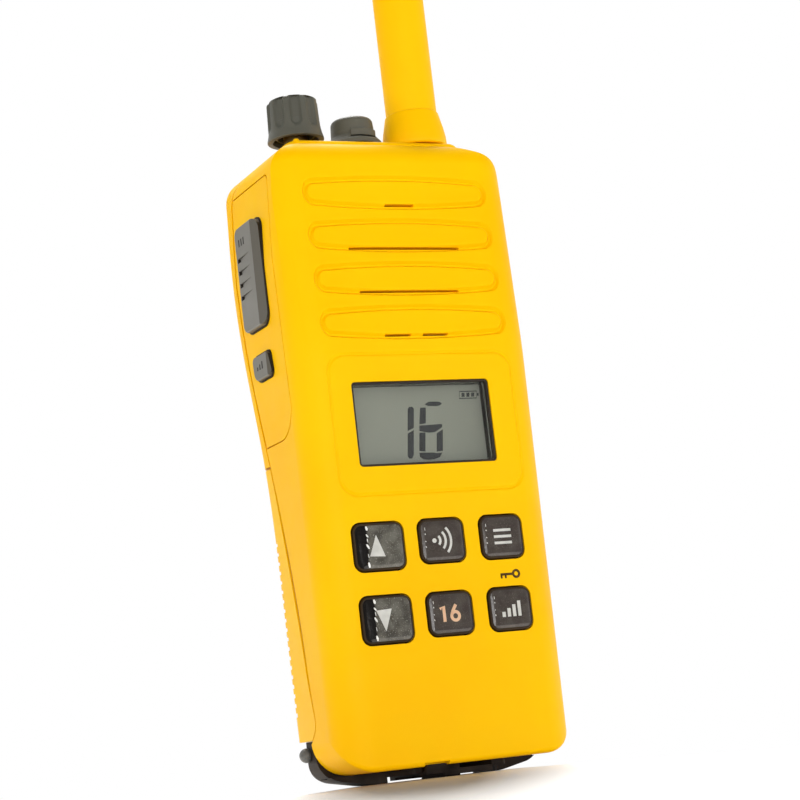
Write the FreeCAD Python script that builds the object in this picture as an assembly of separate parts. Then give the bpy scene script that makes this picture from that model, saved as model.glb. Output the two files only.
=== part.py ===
import FreeCAD, Part
import math
import os
from FreeCAD import Vector

# Handheld VHF marine radio, millimetres.
# X runs to the right as the user faces the radio, -Y is the front, +Z is up.
# The origin is on the standing surface, below the middle of the lower case.

# ---- driving dimensions: body ----
half_width_low = 30.2
half_width_high = 31.5
widest_z = 124.0
case_bottom = 2.8
case_top = 153.0
front_y = -15.0
lean_start = 101.0
lean_degrees = 3.7
bend_radius = 120.0
front_edge_radius = 8.0
rear_edge_radius = 6.5
bottom_corner_radius = 8.5
bottom_edge_radius = 1.3
top_rear_radius = 8.0
crown_left = -21.0
crown_right = 17.2
crown_radius = 7.0
left_shoulder_z = 150.2
right_shoulder_z = 148.6
shoulder_inset = 1.4
shoulder_radius = 6.5
side_crown_radius = 60.0
smallest_radius = 1.5
wall = 2.2

# ---- driving dimensions: the seam between front case and rear parts ----
seam_points = [(3.4, 10.6), (1.2, 12.2), (-0.7, 14.6), (-0.5, 19.0), (0.8, 32.0), (3.4, 52.0),
               (9.7, 80.1), (15.2, 102.3), (17.6, 124.6), (18.0, 142.0)]
seam_turn_middle = (17.1, 146.4)
seam_turn_end = (14.6, 148.6)
seam_top_y = 14.4
seam_gap = 0.5
seam_bulge = 0.9
bulge_low = 16.0
bulge_high = 76.6
gasket_start_z = 16.0
gasket_recess = 0.3
gasket_play = 0.05
pack_gap_play = 0.3

# ---- driving dimensions: rear surface ----
rear_points = [(24.5, 147.0), (25.2, 124.0), (22.6, 101.0), (18.6, 82.0), (16.8, 69.0), (16.0, 40.0),
               (15.4, 2.0)]

# ---- driving dimensions: battery pack ----
pack_bottom = 11.6
pack_top = 76.6
pack_wall = 1.8
head_bottom = 77.2

# ---- driving dimensions: speaker louvres ----
louvre_pitch = 10.83
louvre_top_z = 139.2
louvre_count = 4
louvre_half_length = 23.8
louvre_half_height = 3.6
louvre_end_half_height = 2.7
louvre_end_reach = 2.4
louvre_groove_top = 1.5
louvre_groove_floor = 0.4
louvre_depth = 0.75
slit_height = 0.5
slit_rise = 0.45
slit_spans = [[(-3.3, 4.4)], [(-14.2, 15.1)], [(-12.9, 13.3)], [(-8.0, -1.2), (1.9, 8.6)]]

# ---- driving dimensions: display ----
surround_half_width = 24.0
surround_low = 65.8
surround_high = 99.0
surround_radius = 4.5
surround_line_top = 1.0
surround_line_floor = 0.3
surround_line_depth = 0.3
window_left = -18.5
window_right = 17.5
window_low = 72.3
window_high = 92.4
window_radius = 1.0
window_recess = 1.3
lens_thickness = 1.0
display_front = -10.8
display_back = -9.95
light_guide_back = -8.9

# ---- driving dimensions: keys, as (name, left, right, low, high) ----
key_clearance = 0.35
key_radius = 2.1
key_proud = 0.7
keys = [
    ("key_up", -22.4, -9.6, 48.1, 59.1),
    ("key_call", -5.6, 6.0, 49.0, 59.2),
    ("key_channel", 10.4, 21.5, 49.0, 59.2),
    ("key_down", -22.4, -9.6, 31.3, 42.2),
    ("key_sixteen", -5.6, 6.0, 32.0, 42.0),
    ("key_power", 10.4, 21.5, 32.0, 42.0),
]

# ---- driving dimensions: left side panel and its buttons, as (y, z, corner radius) ----
panel_front_low = -8.3
panel_front_high = -6.0
panel_low = 81.5
panel_high = 145.6
panel_low_radius = 8.0
panel_depth = 1.1
panel_groove = 0.3
ptt_outline = [(-1.3, 110.2, 2.8), (12.0, 110.2, 2.2), (12.4, 136.4, 2.2), (-1.0, 136.4, 2.8)]
ptt_proud = 1.5
ptt_bevel = 2.8
ptt_groove_z = [128.3, 125.2, 122.1, 119.0]
ptt_groove_height = 1.1
ptt_groove_depth = 0.7
ptt_groove_front = 3.6
ptt_groove_rear = 11.2
squelch_outline = [(-0.2, 97.8, 1.3), (9.6, 97.8, 2.4), (10.2, 103.8, 1.3), (0.6, 103.8, 1.3)]
squelch_proud = 1.0
squelch_bevel = 1.2
button_clearance = 0.3
switch_y = 5.2
ptt_switch_z = 123.3
squelch_switch_z = 100.8
switch_left = -24.9
side_board_x = -22.95

# ---- driving dimensions: top controls ----
control_y = 5.0
deck_left = -22.6
deck_right = 24.4
deck_front = -3.6
deck_rear = 13.0
deck_radius = 4.0
deck_edge = 1.5
deck_top = 155.2
control_lift = 0.3
knob_x = -17.0
knob_radius = 7.0
knob_top_radius = 6.35
knob_bottom = 157.1
knob_top = 167.5
knob_flutes = 9
flute_start = -67.0
flute_reach = 7.5
flute_radius = 1.75
flute_low = 161.0
knob_wall = 1.1
knob_cover = 3.0
shaft_radius = 3.0
bushing_radius = 3.6
control_half = 5.5
control_low = 141.6
control_high = 149.5
jack_x = -1.5
jack_radius = 4.0
jack_bore = 1.75
cap_skirt_radius = 7.2
cap_waist_z = 158.4
cap_waist_radius = 5.5
cap_top = 163.0
cap_tab_start = -118.0
cap_tab_span = 72.0
cap_tab_radius = 6.1
cap_tab_low = 157.6
cap_tab_high = 159.4
cap_notch_low = 156.9
cap_notch_radius = 4.9
antenna_x = 15.5
antenna_socket_radius = 4.7
collar_radius = 8.15
mast_radius = 6.45
mast_tip_radius = 5.2
mast_taper_start = 232.0
collar_top = 164.6
antenna_top = 300.0

# ---- driving dimensions: base guard and latch ----
guard_half_width = 29.6
guard_radius = 7.0
guard_front = -11.0
guard_side_front = 2.6
guard_rear = 10.5
guard_top = 11.2
guard_seam_y = 3.2
guard_gap = 0.15
sole_low = 0.0
sole_rise = 2.5
sole_half_flat = 16.5
sole_round = 16.0
rail_low = 1.4
rail_half_width = 14.0
guard_pocket_inner = 12.5
guard_pocket_outer = 26.6
foot_left = -2.6
foot_right = 1.1
foot_front = -8.8
foot_rear = 4.6
pivot_y = 7.6
pivot_z = 8.4
axle_radius = 1.2
axle_half_length = 30.0
axle_head_radius = 1.7
latch_left = -9.0
latch_right = 8.0
latch_gap = 0.4
latch_front = -12.0
latch_plate_low = 0.4
latch_plate_top = 1.7
latch_hub_radius = 2.6
tongue_left = -10.0
tongue_right = -4.5
tongue_front = -14.4
tongue_back = -12.8
tongue_low = 1.0
tongue_high = 3.2
tongue_corner = 1.0

# ---- driving dimensions: screws and belt-clip inserts ----
screw_x = 25.8
screw_z = 144.4
screw_start = 9.0
screw_seat = 22.4
lower_screw_start = -10.0
screw_head_height = 1.1
socket_radius = 1.1
lower_screw_x = 24.0
lower_screw_z = 19.0
boss_radius = 3.0
boss_front = -8.6
boss_rear = 15.8
screw_radius = 1.4
screw_head_radius = 2.6
clip_x = 10.0
clip_z = 126.0
insert_radius = 2.4
insert_bore = 1.25
insert_depth = 6.0
insert_face = 25.0

# ---- driving dimensions: inner frame and boards ----
chassis_front = -4.4
chassis_back = -2.8
chassis_half_width = 27.4
rail_outer = 21.4
rail_inner = 19.0
board_half_width = 25.5
board_low = 26.0
board_high = 99.0
board_front = -8.8
board_thickness = 1.2
mat_front = -10.9
mat_high = 63.0
rail_front = 1.4
rail_back = 3.9
board_top = 136.0
shield_half_width = 18.5
shield_low = 84.0
shield_high = 120.0
shield_back = 11.0
radio_board_back = 5.5
radio_board_low = 80.5

# ---- driving dimensions: loudspeaker ----
speaker_z = 124.4
speaker_radius = 17.2
speaker_front = -12.2
basket_front = -11.0
basket_radius = 16.4
basket_depth = 5.0
basket_wall = 1.2
cone_radius = 14.9
cone_depth = 3.4
cap_radius = 6.0
magnet_radius = 11.0
magnet_depth = 3.4
microphone_x = 6.4
microphone_z = 103.6
microphone_radius = 2.4

# ---- driving dimensions: battery details ----
pack_rib_low = 17.5
pack_rib_pitch = 2.25
pack_rib_count = 19
pack_rib_depth = 0.3
pack_rib_height = 1.0
pack_rib_x = 25.4
pack_rib_y = 9.5
lid_half_width = 26.8
lid_front = -1.6
lid_wall = 1.4
cell_width = 24.4
cell_height = 50.0
cell_depth = 10.0
cell_low = 17.0
contact_x = [-7.0, 0.0, 7.0]
contact_z = 69.0
pad_half_width = 1.6
pad_half_height = 3.5
pad_thickness = 0.9

# a distance well outside the radio, for cutting tools
far = 60.0


# ---- general shapes ----

def place(axis, u, v, depth):
    """Point with plane coordinates u, v and a distance along the axis."""
    if axis == "x":
        return Vector(depth, u, v)
    if axis == "y":
        return Vector(u, depth, v)
    return Vector(u, v, depth)


def outline_wire(points, axis, depth):
    """Closed wire of straight runs whose corners are rounded by tangent arcs."""
    count = len(points)
    corners = []
    for index in range(count):
        u, v, radius = points[index]
        here = Vector(u, v, 0)
        before = Vector(points[index - 1][0], points[index - 1][1], 0)
        after = Vector(points[(index + 1) % count][0], points[(index + 1) % count][1], 0)
        back = (before - here).normalize()
        ahead = (after - here).normalize()
        half_angle = back.getAngle(ahead) / 2.0
        reach = radius / math.tan(half_angle)
        middle = (back + ahead).normalize()
        centre = here + middle * (radius / math.sin(half_angle))
        corners.append((here + back * reach, centre - middle * radius, here + ahead * reach, radius))
    edges = []
    for index in range(count):
        start, top, end, radius = corners[index]
        following = corners[(index + 1) % count][0]
        if radius > 0:
            edges.append(Part.Arc(place(axis, start.x, start.y, depth), place(axis, top.x, top.y, depth),
                                  place(axis, end.x, end.y, depth)).toShape())
        if (following - end).Length > 1e-4:
            edges.append(Part.LineSegment(place(axis, end.x, end.y, depth),
                                          place(axis, following.x, following.y, depth)).toShape())
    return Part.Wire(Part.__sortEdges__(edges))


def prism(points, axis, start, end):
    """Solid between two depths along an axis, with a rounded outline as its section."""
    face = Part.Face(outline_wire(points, axis, start))
    return face.extrude(place(axis, 0, 0, end - start))


def rectangle(u_low, u_high, v_low, v_high, radius):
    """Corner list of a rounded rectangle."""
    return [(u_low, v_low, radius), (u_high, v_low, radius),
            (u_high, v_high, radius), (u_low, v_high, radius)]


def box(x_low, x_high, y_low, y_high, z_low, z_high):
    """Plain block between two corners."""
    return Part.makeBox(x_high - x_low, y_high - y_low, z_high - z_low, Vector(x_low, y_low, z_low))


def rod(x, y, z_low, z_high, radius):
    """Upright cylinder."""
    return Part.makeCylinder(radius, z_high - z_low, Vector(x, y, z_low))


def rod_along(axis, u, v, start, end, radius):
    """Cylinder along a named axis."""
    direction = place(axis, 0, 0, 1)
    return Part.makeCylinder(radius, end - start, place(axis, u, v, start), direction)


def revolve_profile(points, x, y):
    """Solid of revolution about an upright axis, from (radius, z) corners."""
    corners = [Vector(x + radius, y, z) for radius, z in points]
    face = Part.Face(Part.makePolygon(corners + [corners[0]]))
    return face.revolve(Vector(x, y, 0), Vector(0, 0, 1), 360)


def soften(shape, radius, chosen):
    """Round the edges for which chosen(edge) is true."""
    edges = [edge for edge in shape.Edges if chosen(edge)]
    return shape.makeFillet(radius, edges)


def at_depth(axis_index, value):
    """Chooser of the edges that lie wholly at one coordinate."""
    def chosen(edge):
        bounds = edge.BoundBox
        low = (bounds.XMin, bounds.YMin, bounds.ZMin)[axis_index]
        high = (bounds.XMax, bounds.YMax, bounds.ZMax)[axis_index]
        return abs(low - value) < 0.02 and abs(high - value) < 0.02
    return chosen


def lean(shape):
    """Tip a shape back with the upper front face."""
    leaned = shape.copy()
    leaned.rotate(Vector(0, front_y, lean_start), Vector(1, 0, 0), -lean_degrees)
    return leaned


# ---- body form ----

def side_profile(inset):
    """Face of the body seen from the side."""
    low = case_bottom + inset
    high = case_top - inset
    lean_tan = math.tan(math.radians(lean_degrees))
    bend_reach = bend_radius * math.tan(math.radians(lean_degrees) / 2.0)
    front = front_y + inset
    bend_low = Vector(0, front, lean_start - bend_reach)
    bend_high = Vector(0, front + bend_reach * math.sin(math.radians(lean_degrees)),
                       lean_start + bend_reach * math.cos(math.radians(lean_degrees)))
    bend_middle_drop = bend_radius * (1 - math.cos(math.radians(lean_degrees) / 2.0))
    bend_middle = Vector(0, front + bend_middle_drop,
                         lean_start - bend_reach + bend_radius * math.sin(math.radians(lean_degrees) / 2.0))
    top_front = Vector(0, front + (high - lean_start) * lean_tan, high)
    rear = [Vector(0, y - inset, min(z, high - top_rear_radius)) for y, z in rear_points]
    radius = top_rear_radius - min(inset, 1.5)
    rear[0] = Vector(0, rear[0].y, high - radius)
    rear[-1] = Vector(0, rear[-1].y, low)
    top_rear = Vector(0, rear[0].y - radius, high)
    diagonal = radius * (1 - math.sqrt(0.5))
    spline = Part.BSplineCurve()
    spline.interpolate(rear, InitialTangent=Vector(0, 0, -1), FinalTangent=Vector(0, -0.02, -1))
    edges = [
        Part.LineSegment(Vector(0, front, low), bend_low).toShape(),
        Part.Arc(bend_low, bend_middle, bend_high).toShape(),
        Part.LineSegment(bend_high, top_front).toShape(),
        Part.LineSegment(top_front, top_rear).toShape(),
        Part.Arc(top_rear, Vector(0, rear[0].y - diagonal, high - diagonal), rear[0]).toShape(),
        spline.toShape(),
        Part.LineSegment(rear[-1], Vector(0, front, low)).toShape(),
    ]
    return Part.Face(Part.Wire(edges))


def width_at(z):
    """Half width of the body at a height."""
    share = (z - case_bottom) / (widest_z - case_bottom)
    return half_width_low + (half_width_high - half_width_low) * share


def front_outline(inset):
    """Corners of the body seen from the front."""
    low = case_bottom + inset
    high = case_top - inset
    side_low = width_at(low) - inset
    side_high = half_width_high - inset
    low_radius = max(smallest_radius, bottom_corner_radius - inset)
    high_radius = max(smallest_radius, shoulder_radius - inset)
    return [
        (-side_low, low, low_radius),
        (side_low, low, low_radius),
        (side_high, widest_z, side_crown_radius),
        (side_high - shoulder_inset, right_shoulder_z - inset, high_radius),
        (crown_right - inset, high, crown_radius),
        (crown_left + inset, high, crown_radius),
        (-side_high + shoulder_inset, left_shoulder_z - inset, high_radius),
        (-side_high, widest_z, side_crown_radius),
    ]


def body_form(inset):
    """The whole outside form, set in by a distance."""
    slab = side_profile(inset).extrude(Vector(2 * far, 0, 0))
    slab.translate(Vector(-far, 0, 0))
    side_low = width_at(-far) - inset
    above = 2 * case_top
    side_high = width_at(above) - inset
    sides = [(-side_low, -far, 0), (side_low, -far, 0), (side_high, above, 0), (-side_high, above, 0)]
    blank = slab.common(prism(sides, "y", -far, far))
    middle_y = 2.0

    def front_vertical(edge):
        bounds = edge.BoundBox
        short = bounds.XLength < 10.0 and bounds.YLength < 16.0
        return short and abs(bounds.XMax) > 20 and bounds.YMax < middle_y

    def rear_vertical(edge):
        bounds = edge.BoundBox
        return bounds.XLength < 10.0 and bounds.ZLength > 3.0 and bounds.YMin > middle_y

    rounded = soften(blank, max(smallest_radius, front_edge_radius - inset), front_vertical)
    rounded = soften(rounded, max(smallest_radius, rear_edge_radius - inset), rear_vertical)
    return rounded.common(prism(front_outline(inset), "y", -far, far))


def outside_form():
    """The outside of the radio, with its lower front edge rounded."""
    corner_top = case_bottom + bottom_corner_radius

    def low_front(edge):
        bounds = edge.BoundBox
        in_front = bounds.YMax < front_y + front_edge_radius + 0.1
        return in_front and bounds.XLength > 1.0 and bounds.ZMax < corner_top + 0.1

    return soften(body_form(0.0), bottom_edge_radius, low_front)


def seam_zone(offset, bulge=0.0):
    """Everything in front of the seam, moved back by an offset and by a bulge along the battery pack."""
    points = []
    for y, z in seam_points:
        share = min(1.0, max(0.0, (z - bulge_low) / (bulge_high - bulge_low)))
        points.append(Vector(-far, y + offset + bulge * math.sin(math.pi * share), z))
    spline = Part.BSplineCurve()
    spline.interpolate(points)
    first = spline.StartPoint
    last = spline.EndPoint
    turn_middle = Vector(-far, seam_turn_middle[0] + offset, seam_turn_middle[1])
    turn_end = Vector(-far, seam_turn_end[0] + offset, seam_turn_end[1])
    top = Vector(-far, seam_top_y + offset, 2 * case_top)
    top_front = Vector(-far, -far, 2 * case_top)
    below_front = Vector(-far, -far, -far)
    below = Vector(-far, first.y, -far)
    edges = [
        Part.LineSegment(below, first).toShape(),
        spline.toShape(),
        Part.Arc(last, turn_middle, turn_end).toShape(),
        Part.LineSegment(turn_end, top).toShape(),
        Part.LineSegment(top, top_front).toShape(),
        Part.LineSegment(top_front, below_front).toShape(),
        Part.LineSegment(below_front, below).toShape(),
    ]
    return Part.Face(Part.Wire(edges)).extrude(Vector(2 * far, 0, 0))


# ---- casings ----

def guard_zone(gap):
    """Everything behind the lower rear edge of the front case and below the battery pack."""
    return box(-far, far, guard_seam_y + gap, far, -far, guard_top + 0.2 - gap)


def louvre_outline(middle_z, grow, depth):
    """Long bar outline with gently arched long sides and round ends, as a wire across Y."""
    reach = louvre_half_length + grow
    high = louvre_half_height + grow
    end_high = louvre_end_half_height + grow
    corner = reach - louvre_end_reach
    edges = [
        Part.Arc(Vector(-corner, depth, middle_z + end_high), Vector(0, depth, middle_z + high),
                 Vector(corner, depth, middle_z + end_high)).toShape(),
        Part.Arc(Vector(corner, depth, middle_z + end_high), Vector(reach, depth, middle_z),
                 Vector(corner, depth, middle_z - end_high)).toShape(),
        Part.Arc(Vector(corner, depth, middle_z - end_high), Vector(0, depth, middle_z - high),
                 Vector(-corner, depth, middle_z - end_high)).toShape(),
        Part.Arc(Vector(-corner, depth, middle_z - end_high), Vector(-reach, depth, middle_z),
                 Vector(-corner, depth, middle_z + end_high)).toShape(),
    ]
    return Part.Wire(edges)


def louvre_level(middle_z, mouth_grow, floor_grow):
    """Tapered block of one bar outline, from in front of the wall down to the floor of the groove."""
    slope = (floor_grow - mouth_grow) / louvre_depth
    lead = 1.0
    mouth = louvre_outline(middle_z, mouth_grow - slope * lead, front_y - lead)
    floor = louvre_outline(middle_z, floor_grow, front_y + louvre_depth)
    return Part.makeLoft([mouth, floor], True, True)


def louvre_cut(index):
    """Soft V groove round one louvre bar and the sound slits under its lower edge."""
    middle_z = louvre_top_z - index * louvre_pitch
    half_top = louvre_groove_top / 2
    half_floor = louvre_groove_floor / 2
    pocket = louvre_level(middle_z, half_top, half_floor)
    bar = louvre_level(middle_z, -half_top, -half_floor)
    cut = pocket.cut(bar)
    slit_low = middle_z - louvre_half_height + slit_rise - slit_height / 2
    slit_back = front_y + wall + 1.0
    for left, right in slit_spans[index]:
        cut = cut.fuse(box(left, right, front_y - 1.0, slit_back, slit_low, slit_low + slit_height))
    return lean(cut)


def key_opening(key):
    """Opening in the front wall for one key."""
    name, left, right, low, high = key
    outline = grown(rectangle(left, right, low, high, key_radius), key_clearance)
    return prism(outline, "y", -far, front_y + wall + 1.0)


def surround_level(top_grow, floor_grow):
    """Tapered block of the display surround, from in front of the wall down to the floor of its line."""
    slope = (floor_grow - top_grow) / surround_line_depth
    lead = 1.0
    levels = [(top_grow - slope * lead, front_y - lead), (floor_grow, front_y + surround_line_depth)]
    wires = []
    for grow, depth in levels:
        outline = rectangle(-surround_half_width - grow, surround_half_width + grow,
                            surround_low - grow, surround_high + grow, surround_radius + grow)
        wires.append(outline_wire(outline, "y", depth))
    return Part.makeLoft(wires, True, True)


def surround_cut():
    """Shallow line with sloped sides round the display."""
    half_top = surround_line_top / 2
    half_floor = surround_line_floor / 2
    return surround_level(half_top, half_floor).cut(surround_level(-half_top, -half_floor))


def window_cut(grow, start, end):
    """Display opening, widened by a margin, between two depths."""
    outline = rectangle(window_left - grow, window_right + grow, window_low - grow, window_high + grow,
                        window_radius + grow)
    return prism(outline, "y", start, end)


def panel_zone(grow):
    """Space of the left side panel, seen from the side, from its front groove to the seam."""
    outline = [
        (panel_front_low - grow, panel_low - grow, panel_low_radius),
        (far / 2, panel_low - grow, 0.5),
        (far / 2, panel_high + grow, 0.5),
        (panel_front_high - grow, panel_high + grow, smallest_radius),
    ]
    return prism(outline, "x", -far, -half_width_low + 4.0).common(seam_zone(grow))


def side_opening(outline, grow):
    """Opening through the left wall for a side button."""
    return prism([(y, z, r) for y, z, r in grown(outline, grow)], "x", -far, -half_width_low + 4.0)


def grown(outline, grow):
    """Four-cornered outline with its sides moved out."""
    middle_u = sum(point[0] for point in outline) / len(outline)
    middle_v = sum(point[1] for point in outline) / len(outline)
    moved = []
    for u, v, radius in outline:
        moved_u = u + math.copysign(grow, u - middle_u)
        moved_v = v + math.copysign(grow, v - middle_v)
        moved.append((moved_u, moved_v, radius + grow))
    return moved


def control_deck():
    """Raised deck on the top that carries the controls."""
    outline = rectangle(deck_left, deck_right, deck_front, deck_rear, deck_radius)
    return soften(prism(outline, "z", case_top - wall, deck_top), deck_edge, at_depth(2, deck_top))


def volume_pointer():
    """Small raised pointer beside the volume knob."""
    return Part.makeCone(1.1, 0.6, 1.0, Vector(knob_x - 3.0, deck_front + 1.6, deck_top - 0.7))


def front_bosses():
    """Screw bosses inside the front case."""
    bosses = []
    for side in (-1, 1):
        lower_x = side * lower_screw_x
        lower_front = front_y + wall - 0.2
        bosses.append(rod_along("y", side * screw_x, screw_z, boss_front, boss_rear, boss_radius))
        bosses.append(rod_along("y", lower_x, lower_screw_z, lower_front, chassis_front, boss_radius))
    return bosses


def front_case(outer, inner, panel_floor):
    """Moulded front shell with louvres, display opening, key openings and side pocket."""
    shell = outer.cut(inner).common(seam_zone(0.0))
    shell = shell.fuse([control_deck(), volume_pointer()] + front_bosses())
    cuts = [louvre_cut(index) for index in range(louvre_count)]
    cuts.append(surround_cut())
    cuts.append(window_cut(0.0, -far, front_y + wall + 1.0))
    cuts += [key_opening(key) for key in keys]
    cuts.append(outer.cut(panel_floor).common(panel_zone(0.0)))
    cuts.append(side_opening(ptt_outline, button_clearance))
    cuts.append(side_opening(squelch_outline, button_clearance))
    cuts.append(guard_zone(0.0))
    for x, radius in ((knob_x, bushing_radius), (jack_x, jack_radius), (antenna_x, antenna_socket_radius)):
        cuts.append(rod(x, control_y, case_top - far, deck_top + 1, radius + 0.1))
    cuts.append(latch_notch())
    for side in (-1, 1):
        cuts.append(rod_along("y", side * screw_x, screw_z, screw_start - 1.0, far, screw_radius + 0.05))
        cuts.append(rod_along("y", side * lower_screw_x, lower_screw_z, lower_screw_start - 1.0, 0.0,
                              screw_radius + 0.05))
    for cut in cuts:
        shell = shell.cut(cut)
    return largest(shell)


def latch_notch():
    """Notch in the lower front edge that takes the tongue of the latch."""
    return box(tongue_left - latch_gap, tongue_right + latch_gap, front_y - 1, tongue_back + 2 * latch_gap,
               case_bottom - 1, tongue_high + latch_gap)


def largest(shape):
    """The biggest solid of a shape."""
    return sorted(shape.Solids, key=lambda solid: solid.Volume)[-1]


def rear_case(outer, inner):
    """Rear shell of the head, with its floor above the battery pack."""
    head = outer.cut(box(-far, far, -far, far, -far, head_bottom))
    hollow = inner.cut(box(-far, far, -far, far, -far, head_bottom + wall))
    shell = head.cut(seam_zone(seam_gap)).cut(hollow)
    bosses = []
    for side in (-1, 1):
        bosses.append(rod_along("y", side * screw_x, screw_z, 18.6, far, boss_radius + 0.6).common(outer))
        bosses.append(rod_along("y", side * clip_x, clip_z, 18.4, 24.0, 4.2))
    shell = shell.fuse(bosses)
    for side in (-1, 1):
        shell = shell.cut(rod_along("y", side * screw_x, screw_z, 17.0, far, screw_radius + 0.1))
        shell = shell.cut(rod_along("y", side * screw_x, screw_z, screw_seat, far, screw_head_radius + 0.2))
        insert_start = insert_face - insert_depth
        shell = shell.cut(rod_along("y", side * clip_x, clip_z, insert_start, far, insert_radius))
    return largest(shell)


def case_gasket():
    """Seal bead that shows in the seam, up both sides and over the top."""
    ring = body_form(gasket_recess).cut(body_form(wall - 0.2))
    front_face = seam_zone(gasket_play)
    upper = ring.common(seam_zone(seam_gap - gasket_play).cut(front_face))
    upper = upper.common(box(-far, far, -far, far, head_bottom - pack_gap_play, 2 * case_top))
    lower = ring.common(seam_zone(seam_gap - pack_gap_play, seam_bulge).cut(front_face))
    lower = lower.common(box(-far, far, -far, far, gasket_start_z, head_bottom - pack_gap_play))
    return upper.fuse(lower).removeSplitter()


def case_screws():
    """Four screws that hold the casings and the chassis together."""
    screws = []
    for side in (-1, 1):
        x = side * screw_x
        shank = rod_along("y", x, screw_z, screw_start, screw_seat + 0.2, screw_radius)
        head = rod_along("y", x, screw_z, screw_seat, screw_seat + screw_head_height, screw_head_radius)
        screws.append(shank.fuse(head).cut(hex_socket(x, screw_z, screw_seat + 0.5, screw_seat + 2.0)))
        x = side * lower_screw_x
        shank = rod_along("y", x, lower_screw_z, lower_screw_start, chassis_back, screw_radius)
        head = rod_along("y", x, lower_screw_z, chassis_back, chassis_back + 0.85, screw_head_radius)
        screws.append(shank.fuse(head))
    return Part.makeCompound(screws)


def hex_socket(x, z, start, end):
    """Hexagonal key recess along Y."""
    points = []
    for index in range(6):
        angle = math.radians(60 * index)
        points.append((x + socket_radius * math.cos(angle), z + socket_radius * math.sin(angle), 0))
    return prism(points, "y", start, end)


def clip_inserts():
    """Two threaded inserts for a belt clip, flush with the back of the head."""
    inserts = []
    for side in (-1, 1):
        bottom = insert_face - insert_depth
        sleeve = rod_along("y", side * clip_x, clip_z, bottom, insert_face, insert_radius)
        bore = rod_along("y", side * clip_x, clip_z, bottom + 1.0, insert_face + 1.0, insert_bore)
        inserts.append(sleeve.cut(bore))
    return Part.makeCompound(inserts)


def side_panel(outer, panel_floor):
    """Inlaid panel round the side buttons, flush with the left side."""
    panel = outer.cut(panel_floor).common(panel_zone(-panel_groove))
    panel = panel.cut(side_opening(ptt_outline, button_clearance))
    return largest(panel.cut(side_opening(squelch_outline, button_clearance)))


# ---- buttons and keys ----

def side_button(outline, proud, bevel, flange_margin):
    """Push button through the left wall, with its retaining flange inside."""
    outside = -half_width_high - proud
    inside = -half_width_low + wall + 0.1
    cap = prism(outline, "x", outside, inside + 0.3)
    cap = soften(cap, 0.45, at_depth(0, outside))
    front = min(point[0] for point in outline)
    slope = [(outside - 1, front - 1, 0), (outside + proud, front - 1, 0), (outside + proud * 0.8, front, 0),
             (outside, front + bevel, 0), (outside - 1, front + bevel, 0)]
    cap = cap.cut(prism(slope, "z", 0, 2 * case_top))
    flange = prism(grown(outline, flange_margin), "x", inside + 0.25, inside + 1.1)
    return cap.fuse(flange)


def ptt_button():
    """Push-to-talk button with four finger grooves that deepen to the rear."""
    button = side_button(ptt_outline, ptt_proud, ptt_bevel, 0.9)
    outside = -half_width_high - ptt_proud
    wedge = [(outside - 1, ptt_groove_front, 0), (outside, ptt_groove_front, 0),
             (outside + ptt_groove_depth, ptt_groove_rear, 0), (outside - 1, ptt_groove_rear, 0)]
    for z in ptt_groove_z:
        button = button.cut(prism(wedge, "z", z - ptt_groove_height / 2, z + ptt_groove_height / 2))
    return button


def squelch_button():
    """Small button below the push-to-talk button."""
    return side_button(squelch_outline, squelch_proud, squelch_bevel, 0.7)


def side_switch(z, half_height):
    """Tactile switch behind a side button."""
    body = box(switch_left, side_board_x - 0.05, switch_y - 3.0, switch_y + 3.0,
               z - half_height, z + half_height)
    plunger = rod_along("x", switch_y, z, switch_left - 0.6, switch_left + 0.1, 1.3)
    return body.fuse(plunger)


def side_board():
    """Narrow circuit board that carries the two side switches."""
    outline = rectangle(switch_y - 4.7, switch_y + 5.3, squelch_switch_z - 5.8, ptt_switch_z + 5.7, 1.0)
    return prism(outline, "x", side_board_x, side_board_x + 1.0)


def key_cap(key):
    """One front key: rounded cap through the front wall and a flange behind it."""
    name, left, right, low, high = key
    outline = rectangle(left, right, low, high, key_radius)
    cap = prism(outline, "y", front_y - key_proud, front_y + wall + 0.4)
    cap = soften(cap, 0.6, at_depth(1, front_y - key_proud))
    flange = prism(grown(outline, 0.9), "y", front_y + wall + 0.2, front_y + wall + 0.9)
    return cap.fuse(flange)


def keypad_mat():
    """Silicone mat behind the keys."""
    outline = rectangle(-board_half_width + 0.5, board_half_width - 0.5, board_low + 2.0, mat_high, 2.0)
    return prism(outline, "y", mat_front, mat_front + 0.5)


def key_switches():
    """Six dome switches on the control board."""
    domes = []
    for name, left, right, low, high in keys:
        domes.append(rod_along("y", (left + right) / 2, (low + high) / 2, mat_front + 0.6, board_front, 3.0))
    return Part.makeCompound(domes)


# ---- display ----

def lcd_frame():
    """Dark frame that lines the display opening and holds the glass."""
    collar = window_cut(-0.05, front_y + 0.35, front_y + wall + 0.1)
    flange = window_cut(1.2, front_y + wall + 0.1, display_back)
    return collar.fuse(flange).cut(window_cut(-0.6, -far, far))


def display_lens():
    """Clear lens inside the frame."""
    return window_cut(-0.65, front_y + window_recess, front_y + window_recess + lens_thickness)


def lcd_panel():
    """Liquid crystal display behind the lens."""
    return window_cut(-0.65, display_front, display_back)


def light_guide():
    """Backlight plate behind the display."""
    return window_cut(0.4, display_back + 0.1, light_guide_back)


# ---- inside ----

def control_board():
    """Circuit board behind the keys and the display."""
    outline = rectangle(-board_half_width, board_half_width, board_low, board_high, 2.0)
    return prism(outline, "y", board_front, board_front + board_thickness)


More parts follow.
